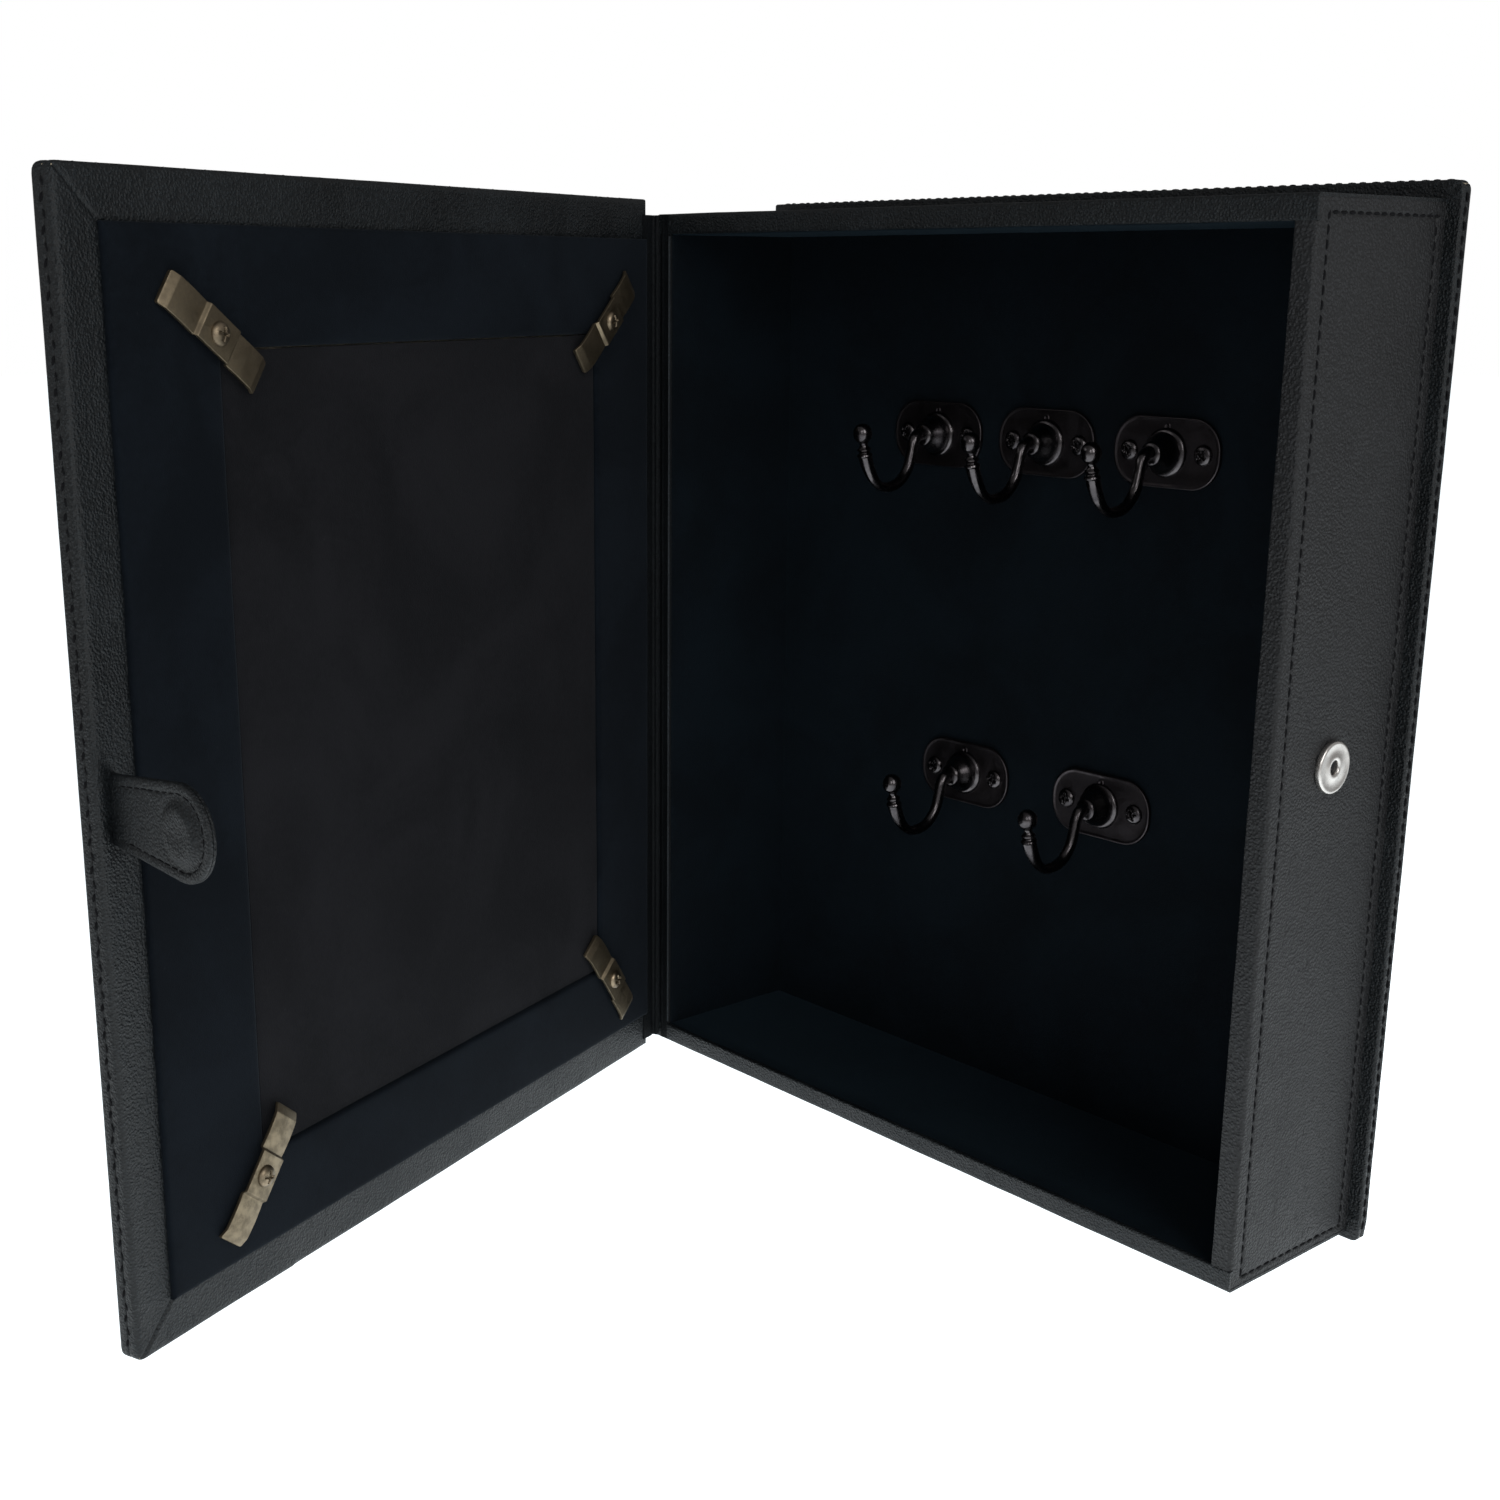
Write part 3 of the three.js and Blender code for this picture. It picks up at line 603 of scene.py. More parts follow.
def hide_grain():
    """Pebbled grain, soft folds, uneven dye, rubbed places and painted shade in the valleys of a grained hide."""
    work, start, end = effect(
        "hide grain",
        (("Pebbles per metre", 1100.0),),
        ("Height", "Dye", "Rubbed", "Wrinkles", "Valleys"),
    )
    where = work.here()
    pebbles = work.node("TexVoronoi", feature="SMOOTH_F1")
    work.join(where, pebbles.inputs["Vector"])
    work.join(start.outputs[0], pebbles.inputs["Scale"])
    pebbles.inputs["Smoothness"].default_value = 0.35
    pebble = work.between(pebbles.outputs["Distance"], 0.1, 0.75, 1.0, 0.0)
    pores = work.waves(where, 3800.0, 2.0)
    folds = work.waves(where, 260.0, 5.0, 0.6, 0.8)
    grain = work.maths("MULTIPLY", pebble, 0.5)
    grain = work.maths("ADD", grain, work.maths("MULTIPLY", pores, 0.28))
    height = work.maths("ADD", grain, work.maths("MULTIPLY", folds, 0.9))
    work.join(height, end.inputs["Height"])
    # Painted shade: a mask for where the grain dips, used to darken the colour there.
    work.join(work.between(grain, 0.25, 0.6, 1.0, 0.0), end.inputs["Valleys"])
    dye = work.waves(where, 26.0, 6.0, 0.62)
    work.join(work.between(dye, 0.3, 0.7), end.inputs["Dye"])
    patches = work.between(work.waves(where, 95.0, 4.0), 0.5, 0.72)
    specks = work.between(work.waves(where, 1300.0, 5.0, 0.7), 0.54, 0.7)
    work.join(work.maths("MULTIPLY", patches, specks), end.inputs["Rubbed"])
    bent = work.node("Mapping")
    bent.inputs["Scale"].default_value = (1.0, 1.0, 0.38)
    bent.inputs["Rotation"].default_value = (0.3, 0.2, 0.0)
    work.join(where, bent.inputs["Vector"])
    wrinkle = work.waves(bent.outputs[0], 620.0, 3.0, 0.6)
    work.join(work.between(wrinkle, 0.56, 0.7), end.inputs["Wrinkles"])
    return work.tree


def nap():
    """The pile of velvet or suede: fine fibres, and strokes where it was brushed."""
    work, start, end = effect("nap", (("Fibres per metre", 2600.0),), ("Height", "Strokes", "Lint"))
    where = work.here()
    fibres = work.node("TexNoise")
    work.join(where, fibres.inputs["Vector"])
    work.join(start.outputs[0], fibres.inputs["Scale"])
    fibres.inputs["Detail"].default_value = 3.0
    work.join(fibres.outputs["Fac"], end.inputs["Height"])
    soft = work.waves(where, 17.0, 5.0, 0.6, 0.6)
    fine = work.waves(where, 420.0, 3.0, 0.6)
    both = work.maths("ADD", work.maths("MULTIPLY", soft, 0.75), work.maths("MULTIPLY", fine, 0.25))
    work.join(work.between(both, 0.36, 0.64), end.inputs["Strokes"])
    lint = work.node("TexVoronoi")
    lint.inputs["Scale"].default_value = 120.0
    work.join(where, lint.inputs["Vector"])
    work.join(work.between(lint.outputs["Distance"], 0.02, 0.06, 1.0, 0.0), end.inputs["Lint"])
    return work.tree


def metal_wear():
    """Patina, fine scratches and small dents on a metal fitting."""
    work, start, end = effect("metal wear", (("Scratches", 1.0),), ("Height", "Patina", "Scratched"))
    where = work.here()
    stretched = work.node("Mapping")
    stretched.inputs["Scale"].default_value = (3.0, 1.0, 0.35)
    stretched.inputs["Rotation"].default_value = (0.4, 0.5, 0.9)
    work.join(where, stretched.inputs["Vector"])
    lines = work.between(work.waves(stretched.outputs[0], 2400.0, 4.0, 0.7), 0.56, 0.74)
    work.join(work.maths("MULTIPLY", lines, start.outputs[0]), end.inputs["Scratched"])
    work.join(work.between(work.waves(where, 210.0, 6.0, 0.65), 0.32, 0.68), end.inputs["Patina"])
    dents = work.waves(where, 520.0, 2.0)
    height = work.maths("ADD", work.maths("MULTIPLY", dents, 0.7), work.maths("MULTIPLY", lines, 0.3))
    work.join(height, end.inputs["Height"])
    return work.tree


HIDE_GRAIN, NAP, METAL_WEAR = hide_grain(), nap(), metal_wear()


def new_finish(name):
    """An empty material, with its shader."""
    made = bpy.data.materials.new(name)
    made.use_nodes = True
    return made, Finish(made.node_tree), made.node_tree.nodes["Principled BSDF"]


def placed(work, group, value):
    made = work.node("Group", node_tree=group)
    made.inputs[0].default_value = value
    return made


def relief(work, shader, height, depth, strength=1.0):
    """Puts a height in mm into the surface's normal."""
    bump = work.node("Bump")
    bump.inputs["Distance"].default_value = depth * MM
    bump.inputs["Strength"].default_value = strength
    work.join(height, bump.inputs["Height"])
    work.join(bump.outputs[0], shader.inputs["Normal"])


def leather(name, dark, light, rubbed, shine, pebbles=1100.0, depth=0.4, gloss=0.28):
    made, work, shader = new_finish(name)
    grain = placed(work, HIDE_GRAIN, pebbles)
    colour = work.mix(grain.outputs["Dye"], dark, light)
    # Painted shade: the colour goes almost black in the grain's valleys.
    colour = work.mix(work.maths("MULTIPLY", grain.outputs["Valleys"], 0.6), colour, (0.001, 0.0012, 0.0014))
    worn = work.maths("MULTIPLY", grain.outputs["Rubbed"], 0.8)
    colour = work.mix(worn, colour, rubbed)
    work.join(colour, shader.inputs["Base Color"])
    rough = work.maths("MULTIPLY", grain.outputs["Dye"], 0.12)
    rough = work.maths("ADD", rough, work.maths("MULTIPLY", grain.outputs["Wrinkles"], 0.1))
    work.join(work.maths("ADD", rough, shine), shader.inputs["Roughness"])
    shader.inputs["Specular IOR Level"].default_value = gloss
    wrinkles = work.maths("MULTIPLY", grain.outputs["Wrinkles"], 0.35)
    height = work.maths("SUBTRACT", grain.outputs["Height"], wrinkles)
    relief(work, shader, height, depth)
    return made


def pile(name, dark, light, sheen, tint, lint, fibres=2600.0, depth=0.12):
    made, work, shader = new_finish(name)
    cloth = placed(work, NAP, fibres)
    colour = work.mix(cloth.outputs["Strokes"], dark, light)
    colour = work.mix(work.maths("MULTIPLY", cloth.outputs["Lint"], 0.25), colour, lint)
    work.join(colour, shader.inputs["Base Color"])
    work.join(work.between(cloth.outputs["Height"], 0.3, 0.7, 0.85, 1.0), shader.inputs["Roughness"])
    shader.inputs["Specular IOR Level"].default_value = 0.08
    shader.inputs["Sheen Weight"].default_value = sheen
    shader.inputs["Sheen Roughness"].default_value = 0.45
    shader.inputs["Sheen Tint"].default_value = (*tint, 1)
    relief(work, shader, cloth.outputs["Height"], depth)
    return made


def metal(name, clean, tarnished, smooth, rough, scratches=1.0, depth=0.02):
    made, work, shader = new_finish(name)
    wear = placed(work, METAL_WEAR, scratches)
    colour = work.mix(wear.outputs["Patina"], clean, tarnished)
    work.join(colour, shader.inputs["Base Color"])
    spread = work.between(wear.outputs["Patina"], 0.0, 1.0, smooth, rough)
    marks = work.maths("MULTIPLY", wear.outputs["Scratched"], 0.15)
    work.join(work.maths("ADD", spread, marks), shader.inputs["Roughness"])
    shader.inputs["Metallic"].default_value = 1.0
    relief(work, shader, wear.outputs["Height"], depth)
    return made


def card_finish():
    made, work, shader = new_finish("grey board")
    where = work.here()
    fibres = work.waves(where, 900.0, 6.0, 0.7)
    work.join(work.mix(fibres, (0.16, 0.13, 0.09), (0.3, 0.26, 0.19)), shader.inputs["Base Color"])
    work.join(work.between(fibres, 0.2, 0.8, 0.8, 0.95), shader.inputs["Roughness"])
    relief(work, shader, fibres, 0.1)
    return made


def thread_finish():
    made, work, shader = new_finish("black waxed thread")
    where = work.here()
    twist = work.waves(where, 2600.0, 2.0)
    work.join(work.mix(twist, (0.002, 0.002, 0.0025), (0.006, 0.006, 0.007)), shader.inputs["Base Color"])
    work.join(work.between(twist, 0.3, 0.7, 0.7, 0.85), shader.inputs["Roughness"])
    shader.inputs["Specular IOR Level"].default_value = 0.08
    relief(work, shader, twist, 0.08)
    return made


def glass_finish():
    made, work, shader = new_finish("picture glass")
    where = work.here()
    smears = work.waves(where, 60.0, 5.0, 0.6, 0.5)
    work.join(work.between(smears, 0.3, 0.8, 0.01, 0.05), shader.inputs["Roughness"])
    work.join(work.mix(smears, (0.93, 0.97, 0.96), (0.97, 1.0, 0.99)), shader.inputs["Base Color"])
    shader.inputs["Transmission Weight"].default_value = 1.0
    shader.inputs["IOR"].default_value = 1.5
    relief(work, shader, smears, 0.01)
    return made


def print_finish():
    """A plain made-up picture: pale sky, hills and a field, a little faded."""
    made, work, shader = new_finish("printed card")
    where = work.here()
    split = work.node("SeparateXYZ")
    work.join(where, split.inputs[0])
    hills = work.maths("MULTIPLY", work.waves(where, 14.0, 4.0), 0.07)
    level = work.maths("SUBTRACT", split.outputs["Z"], hills)
    sky = work.between(level, 0.1, 0.3)
    base = work.mix(sky, (0.78, 0.66, 0.46), (0.3, 0.45, 0.6))
    land = work.between(level, 0.118, 0.121, 1.0, 0.0)
    colour = work.mix(land, base, (0.16, 0.22, 0.11))
    field = work.between(level, 0.078, 0.082, 1.0, 0.0)
    colour = work.mix(field, colour, (0.42, 0.36, 0.16))
    work.join(colour, shader.inputs["Base Color"])
    paper = work.waves(where, 1500.0, 3.0)
    work.join(work.between(paper, 0.3, 0.7, 0.5, 0.65), shader.inputs["Roughness"])
    relief(work, shader, paper, 0.02)
    return made


LEATHER = leather(
    "black grained leather",
    dark=(0.003, 0.0046, 0.0058),
    light=(0.0074, 0.0103, 0.0124),
    rubbed=(0.035, 0.039, 0.041),
    shine=0.44,
)
# The box's black leather made lighter and greyer for the side panel: painted light for the side that the light falls
# on.
PANEL_LEATHER_PAINTED_LIT = leather(
    "black leather of the side panel",
    dark=(0.0074, 0.0076, 0.0088),
    light=(0.0138, 0.0144, 0.016),
    rubbed=(0.03, 0.031, 0.033),
    shine=0.5,
    pebbles=1000.0,
    depth=0.5,
)
HINGE_LEATHER = leather(
    "soft black leather of the hinge",
    dark=(0.0022, 0.003, 0.0038),
    light=(0.0045, 0.0058, 0.007),
    rubbed=(0.012, 0.015, 0.018),
    shine=0.62,
    depth=0.2,
    gloss=0.1,
)
# A lighter leather for the thin strip on the rim's inner edge: a painted highlight for the light that this edge
# catches.
EDGE_HIGHLIGHT_LEATHER = leather(
    "raw cut edge of leather",
    dark=(0.012, 0.015, 0.018),
    light=(0.025, 0.031, 0.036),
    rubbed=(0.04, 0.047, 0.05),
    shine=0.62,
    pebbles=1600.0,
    depth=0.1,
)
VELVET = pile(
    "blue-black velvet",
    dark=(0.0009, 0.0019, 0.0034),
    light=(0.0028, 0.0046, 0.0072),
    sheen=0.05,
    tint=(0.5, 0.58, 0.68),
    lint=(0.02, 0.024, 0.027),
)
TRAY_VELVET = pile(
    "black velvet of the tray",
    dark=(0.0006, 0.0014, 0.0024),
    light=(0.0016, 0.0034, 0.0054),
    sheen=0.07,
    tint=(0.3, 0.55, 0.75),
    lint=(0.012, 0.014, 0.016),
)
SUEDE = pile(
    "charcoal suede",
    dark=(0.0026, 0.0028, 0.0036),
    light=(0.0062, 0.0063, 0.0076),
    sheen=0.07,
    tint=(0.6, 0.6, 0.64),
    lint=(0.03, 0.03, 0.032),
    fibres=1900.0,
)
BRASS = metal("antique brass", (0.205, 0.165, 0.11), (0.12, 0.097, 0.066), 0.4, 0.54)
BRASS_SCREW = metal("antique brass of the screws", (0.26, 0.205, 0.14), (0.1, 0.08, 0.055), 0.34, 0.48)
NICKEL = metal("nickel", (0.6, 0.57, 0.54), (0.44, 0.42, 0.4), 0.16, 0.34)
MAGNET = metal("magnet", (0.09, 0.09, 0.09), (0.05, 0.05, 0.05), 0.4, 0.6)
BRONZE = metal("black bronze", (0.085, 0.078, 0.08), (0.045, 0.041, 0.044), 0.16, 0.28)
PLATE_BRONZE = metal("black bronze of the plates", (0.06, 0.052, 0.055), (0.035, 0.031, 0.034), 0.32, 0.46)
CARD, THREAD, GLASS, PRINT = card_finish(), thread_finish(), glass_finish(), print_finish()

# ---------------------------------------------------------------- sizes of the made pieces

LEATHER_T = 1.0
STITCH_GROOVE = 0.45

back_low, back_high = corners_in(CASE, "back_board_leather")
spine_low, spine_high = corners_in(CASE, "spine_leather")
side_low, side_high = corners_in(CASE, "tray_leather_right")
tray_low = Vector((-side_high.x, side_low.y, corners_in(CASE, "tray_leather_bottom")[0].z))
tray_high = Vector((side_high.x, side_high.y, corners_in(CASE, "tray_leather_top")[1].z))
lined_low, lined_high = corners_in(CASE, "floor_lining")
cover_low, cover_high = corners_in(COVER, "cover_leather")
velvet_low, velvet_high = corners_in(COVER, "velvet_frame")
suede_low, suede_high = corners_in(COVER, "backing_suede")
RIM_Y = tray_low.y
INNER_X = lined_high.x


def steps(low, high, step, marks=()):
    """Even places from low to high, and any marks between them."""
    count = max(1, round((high - low) / step))
    every = [low + (high - low) * k / count for k in range(count + 1)]
    return sorted({round(v, 3) for v in every + [m for m in marks if low < m < high]})


def beside(*lines):
    """Places close to each line, for a stitched groove."""
    return [line + d for line in lines for d in (-1.1, -0.6, -0.3, 0, 0.3, 0.6, 1.1)]


def groove(distance):
    return -STITCH_GROOVE * ridge(distance, 0.6)


# ---------------------------------------------------------------- the case


TURN_IN_END = 8.5
BOARD_CORNER = 3.2


def add_back_board():
    middle = (back_low.y + back_high.y) / 2

    def shape(p, normal):
        if abs(normal.y) > 0.9:
            lift = 0.1 * ripple(p, 38) + 0.05 * ripple(p, 9, 2)
            if normal.y < 0:
                lift += 0.45 * ridge(p.z - TURN_IN_END, 0.6)
                corner = abs(back_high.x - p.x - back_high.z + p.z) / math.sqrt(2)
                lift -= 0.4 * ridge(corner, 0.5) - 0.3 * ridge(corner - 1.1, 0.5)
            return lift
        return groove(p.y - middle) + 0.08 * ripple(p, 14, 1)

    fold = [TURN_IN_END + d for d in (-1.6, -0.9, -0.4, 0, 0.4, 0.9, 1.6)]
    near_x = [back_high.x - d for d in (1.6, 2.4, 3.2, 4, 4.8)]
    near_z = [back_high.z - d for d in (1.6, 2.4, 3.2, 4, 4.8)]
    lines = (near_x, beside(middle), fold + near_z)
    verts, faces = soft_board(back_low, back_high, 0.95, 6, lines, shape)
    block = [worn_corner(p, back_low, back_high, BOARD_CORNER) for p in verts], faces
    piece("back_hide", block, CASE, "case", LEATHER, "leather", ["back_board_leather"])
    sewing = edge_stitches(back_low, back_high, middle, inset=0.12, start=3, end=3, sway=0.35)
    piece("back_edge_stitches", sewing, CASE, "case", THREAD, "leather")


def add_spine():
    rows = [spine_low.z + (spine_high.z - spine_low.z) * k / 5 for k in range(1, 5)]

    def shape(p, normal):
        band = sum(0.5 * ridge(p.z - row, 3) for row in rows) if normal.x < -0.9 else 0
        return band + 0.1 * ripple(p, 24, 3)

    lines = ((), (), [row + d for row in rows for d in (-4, -2, 2, 4)])
    block = soft_board(spine_low, spine_high, 0.9, 5, lines, shape)
    piece("spine_hide", block, CASE, "case", LEATHER, "leather", ["spine_leather"])


FRONT_STITCH = 6.2
BACK_STITCH = 4.4
TOP_STITCH = 5.2
FOOT_STITCH = 3.6
RIM_ROUND = 1.7


def side_profile():
    """From the back edge, forward over the side, round the rim, to the lining's edge."""
    x, inner = tray_high.x, INNER_X
    points = [(x, tray_high.y), (x, RIM_Y), (inner, RIM_Y), (inner, RIM_Y + 1.6)]
    long = tray_high.y - RIM_Y
    marks = beside(BACK_STITCH, long - FRONT_STITCH)
    return bent_line([Vector(p) for p in points], RIM_ROUND, 2.2, marks), long


def add_side_panel():
    """The fore-edge side of the tray, with its stitched border, turned over the rim."""
    line, long = side_profile()
    low, high = tray_low.z + LEATHER_T * 0.7, tray_high.z - LEATHER_T * 0.7
    stitch_low, stitch_high = tray_low.z + FOOT_STITCH, tray_high.z - TOP_STITCH
    snap = corners_in(CASE, "snap_socket")
    snap_y, snap_z = (snap[0].y + snap[1].y) / 2, (snap[0].z + snap[1].z) / 2

    def proud(run, z):
        lift = 0.14 * ripple((run, 0, z), 30, 4) + 0.05 * ripple((run, 0, z), 7, 5)
        across = run - BACK_STITCH, run - (long - FRONT_STITCH)
        if stitch_low < z < stitch_high:
            lift += sum(groove(d) for d in across)
        if BACK_STITCH < run < long - FRONT_STITCH:
            lift += groove(z - stitch_low) + groove(z - stitch_high)
            creases = smooth_step((110 - z) / 90)
            wander = run + 3 * ripple((0, 0, z), 26, 6)
            lift -= 0.22 * creases * sum(ridge(wander - place, 0.9) for place in (17, 34, 47))
        away = math.hypot(run - (tray_high.y - snap_y), z - snap_z)
        lift -= 0.35 * ridge(away - 9.4, 1.1)
        if run > long - 1:
            lift += 0.1 * ripple((run, 0, z), 11, 7)
        return lift

    marks = beside(stitch_low, stitch_high) + steps(snap_z - 13, snap_z + 13, 1.1)
    shape = hide_strip(line, steps(low, high, 3.2, marks), LEATHER_T, upright, proud)
    piece("side_panel_hide", shape, CASE, "case", PANEL_LEATHER_PAINTED_LIT, "leather", ["tray_leather_right"])
    x = tray_high.x - STITCH_GROOVE * 0.8
    y0, y1 = tray_high.y - BACK_STITCH, RIM_Y + FRONT_STITCH
    path = [
        Vector((x, y0, stitch_low)),
        Vector((x, y0, stitch_high)),
        Vector((x, y1, stitch_high)),
        Vector((x, y1, stitch_low)),
        Vector((x, y0, stitch_low)),
    ]
    piece("side_panel_stitches", stitches(path, (1, 0, 0)), CASE, "case", THREAD, "leather")


RIM_LAP = 0.35


def add_top_and_bottom_hides():
    """The strips over the tray's top and foot, lapped over the ends of the side strips."""
    for name, node, edge, inside in (
        ("tray_top_hide", "tray_leather_top", tray_high.z, lined_high.z),
        ("tray_foot_hide", "tray_leather_bottom", tray_low.z, lined_low.z),
    ):
        lap = RIM_Y - RIM_LAP
        points = [(tray_high.y, edge), (lap, edge), (lap, inside), (RIM_Y + 1.6, inside)]
        line = bent_line([Vector(p) for p in points], 1.5, 2.2)
        if edge < inside:
            line = [(Vector((p.x, -p.y)), run) for p, run in line]
        flip = -1 if edge < inside else 1

        def proud(run, x, seed=flip):
            return 0.13 * ripple((run, x, 0), 24, 8 + seed) + 0.05 * ripple((run, x, 0), 6, 9)

        def at(u, v, x, flip=flip):
            return Vector((x, -u, v * flip))

        stations = steps(tray_low.x + 0.2, tray_high.x + 0.12, 3.4)
        mirrored = [(Vector((-p.x, p.y)), run) for p, run in line]
        shape = hide_strip(mirrored, stations, LEATHER_T, at, proud)
        piece(name, shape, CASE, "case", LEATHER, "leather", [node])


def add_hinge_side_hide():
    """The tray's hinge side, under the inner hinge leather."""
    line = side_profile()[0]
    stations = steps(tray_low.z + 0.7, tray_high.z - 0.7, 5)
    shape = hide_strip(line, stations, LEATHER_T, lambda u, v, s: Vector((-u, v + 0.15, s)))
    piece("hinge_side_hide", shape, CASE, "case", HINGE_LEATHER, "leather", ["inner_hinge_leather"])


def add_tray_lining():
    """Velvet on the tray's floor, and a band of it round the walls."""
    low = Vector((lined_low.x - 0.6, lined_low.y, lined_low.z - 0.6))
    high = Vector((lined_high.x + 0.6, lined_high.y - 0.05, lined_high.z + 0.6))

    def floor_shape(p, normal):
        return 0.12 * ripple(p, 45, 10) if normal.y < -0.9 else 0

    floor = soft_board(low, high, 0.3, 6, ((), (), ()), floor_shape)
    piece("floor_velvet", floor, CASE, "case", TRAY_VELVET, "velvet", ["floor_lining"])
    x, z0, z1 = INNER_X, lined_low.z, lined_high.z

    def wall(inset):
        return (-x + inset, x - inset, z0 + inset, z1 - inset)

    front, back = RIM_Y + 1.1, lined_low.y - 0.1
    section = [(wall(-0.9), front), (wall(-0.4), front - 0.25), (wall(0.0), front), (wall(0.25), front + 0.8)]
    section += [(wall(0.25), front + (back - front) * k / 9) for k in range(1, 9)]
    section += [(wall(0.15), back), (wall(-0.9), back)]

    def shape(p, k):
        inward = Vector((-p.x / x, 0, (lined_low.z + lined_high.z) / 2 - p.z)).normalized()
        return inward * (0.12 * ripple(p, 30, 11)) if 2 < k < 11 else Vector((0, 0, 0))

    band = frame_strip(section, 40, 48, shape)
    piece("wall_velvet", band, CASE, "case", TRAY_VELVET, "velvet", ["wall_lining"])


def facing_fore(x, y, z):
    """Stands a shape turned about Z on the tray's side."""
    return Matrix.Translation((x, y, z)) @ Matrix.Rotation(math.pi / 2, 4, "Y")


SNAP_HOLE_R = 2.2
SNAP_SHEET = 0.4


def add_snap_socket():
    low, high = corners_in(CASE, "snap_socket")
    r, proud = (high.y - low.y) / 2, high.x - tray_high.x
    inner = SNAP_HOLE_R + SNAP_SHEET
    profile = [
        (SNAP_HOLE_R, -1.2), (SNAP_HOLE_R, proud - 0.9), (SNAP_HOLE_R + 0.1, proud - 0.35),
        (SNAP_HOLE_R + 0.35, proud - 0.08), (SNAP_HOLE_R + 0.8, proud),
        (SNAP_HOLE_R + 1.5, proud - 0.02), (SNAP_HOLE_R + 1.9, proud - 0.16),
        (r - 1.5, proud - 0.18), (r - 1.0, proud - 0.03), (r - 0.55, proud - 0.04),
        (r - 0.2, proud - 0.2), (r, proud - 0.55), (r, 0.05), (r - 0.5, -0.15),
        (r - 0.5, proud - 0.7), (inner, proud - 0.9), (inner, -1.2), (SNAP_HOLE_R, -1.2),
    ]
    centre = (low.y + high.y) / 2, (low.z + high.z) / 2
    shape = moved(turned(profile, 72), facing_fore(tray_high.x, *centre))
    piece("snap_socket_cup", shape, CASE, "case", NICKEL, "nickel", ["snap_socket"])
    pip_r = SNAP_HOLE_R - 0.05
    pip = [(0, -2.0), (pip_r, -2.0), (pip_r, -0.9), (1.3, -0.75), (0.8, -0.35), (0, -0.2)]
    core = moved(turned(pip, 40), facing_fore(tray_high.x, *centre))
    piece("snap_socket_core", core, CASE, "case", MAGNET, "magnet")


# ---------------------------------------------------------------- screws and hooks


def cross_slot(x, y, length, width):
    """How deep a cross-shaped recess is at a place, from 0 to 1."""
    x, y = abs(x), abs(y)
    along, over = max(x, y), min(x, y)
    return smooth_step((length / 2 - along) / 0.35) * smooth_step((width / 2 - over) / 0.28)


CROSS_DEPTH = 0.95


def screw_head(r, height, shank):
    """A round-headed screw with a cross recess, head up Z."""
    verts, faces = [], []
    segments, rings = 56, []
    for i in range(17):
        rho = r * i / 16
        ring = []
        for k in range(segments if i else 1):
            a = 2 * math.pi * k / segments
            x, y = rho * math.cos(a), rho * math.sin(a)
            dome = height * math.sqrt(max(0.0, 1 - (rho / r) ** 2.6))
            z = max(dome, 0.18 * height) - CROSS_DEPTH * cross_slot(x, y, r * 1.25, r * 0.3)
            ring.append(len(verts))
            verts.append(Vector((x, y, z)))
        rings.append(ring)
    for radius, z in ((r, 0.0), (shank, 0.0), (shank * 0.98, -3.2), (0.0, -4.4)):
        ring = []
        for k in range(segments if radius else 1):
            a = 2 * math.pi * k / segments
            ring.append(len(verts))
            verts.append(Vector((radius * math.cos(a), radius * math.sin(a), z)))
        rings.append(ring)
    for a, b in zip(rings, rings[1:]):
        for k in range(segments):
            j = (k + 1) % segments
            if len(a) == 1:
                faces.append((a[0], b[k], b[j]))
            elif len(b) == 1:
                faces.append((a[j], a[k], b[0]))
            else:
                faces.append((a[j], a[k], b[k], b[j]))
    return verts, faces


def facing_front(x, y, z, spin=0.0):
    """Stands a shape made about Z on the tray's lining, its top towards the viewer."""
    turn = Matrix.Rotation(math.pi / 2, 4, "X")
    return Matrix.Translation((x, y, z)) @ turn @ Matrix.Rotation(spin, 4, "Z")


PLATE_T = 1.5
HOOK_SCREWS = 31
PLATE_PIP_Z = 9


def hook_plate(width, height):
    """An oval plate with a raised thin rim and a dimple over the boss, its face up Z."""
    r = height / 2 - 0.9
    rings = []
    for inset, z in (
        (0.35, 0.0),
        (0.0, 0.35),
        (0.0, PLATE_T - 0.45),
        (0.12, PLATE_T - 0.15),
        (0.4, PLATE_T),
        (0.75, PLATE_T - 0.04),
        (1.15, PLATE_T - 0.22),
        (1.7, PLATE_T - 0.3),
        (4.5, PLATE_T - 0.3),
        (8.0, PLATE_T - 0.3),
    ):
        ring = []
        for corner in range(4):
            cx = (width / 2 - r) * (1 if corner in (0, 3) else -1)
            cy = (height / 2 - r) * (1 if corner < 2 else -1)
            for k in range(15):
                a = math.pi / 2 * (corner + k / 14)
                reach = r - inset
                ring.append(Vector((cx + reach * math.cos(a), cy + reach * math.sin(a), z)))
        rings.append(ring)
    pip_line = [(0, -0.6), (1.25, -0.6), (1.25, -0.2), (0.95, 0), (0.6, -0.25), (0, -0.4)]
    pip = turned([(reach, PLATE_T + rise) for reach, rise in pip_line], 24)
    return together(loft(rings), moved(pip, Matrix.Translation((0, PLATE_PIP_Z, 0))))


ARM_LINE = (
    (8, 0), (12, 0), (14.4, -2.4), (15.6, -7), (17.4, -12.5), (21.5, -17), (27, -18.8),
    (32, -18.2), (36, -15), (39, -10.4), (40.8, -6.2),
)
FINIAL_TILT = 0.17


def arm_radius(t):
    """Thick at the boss, even round the bend, thin where the shaft starts and wider to the collar."""
    return 2.6 - 0.55 * smooth_step(t * 3) - 0.3 * ridge(t - 0.72, 0.12) + 0.5 * smooth_step((t - 0.72) * 4)


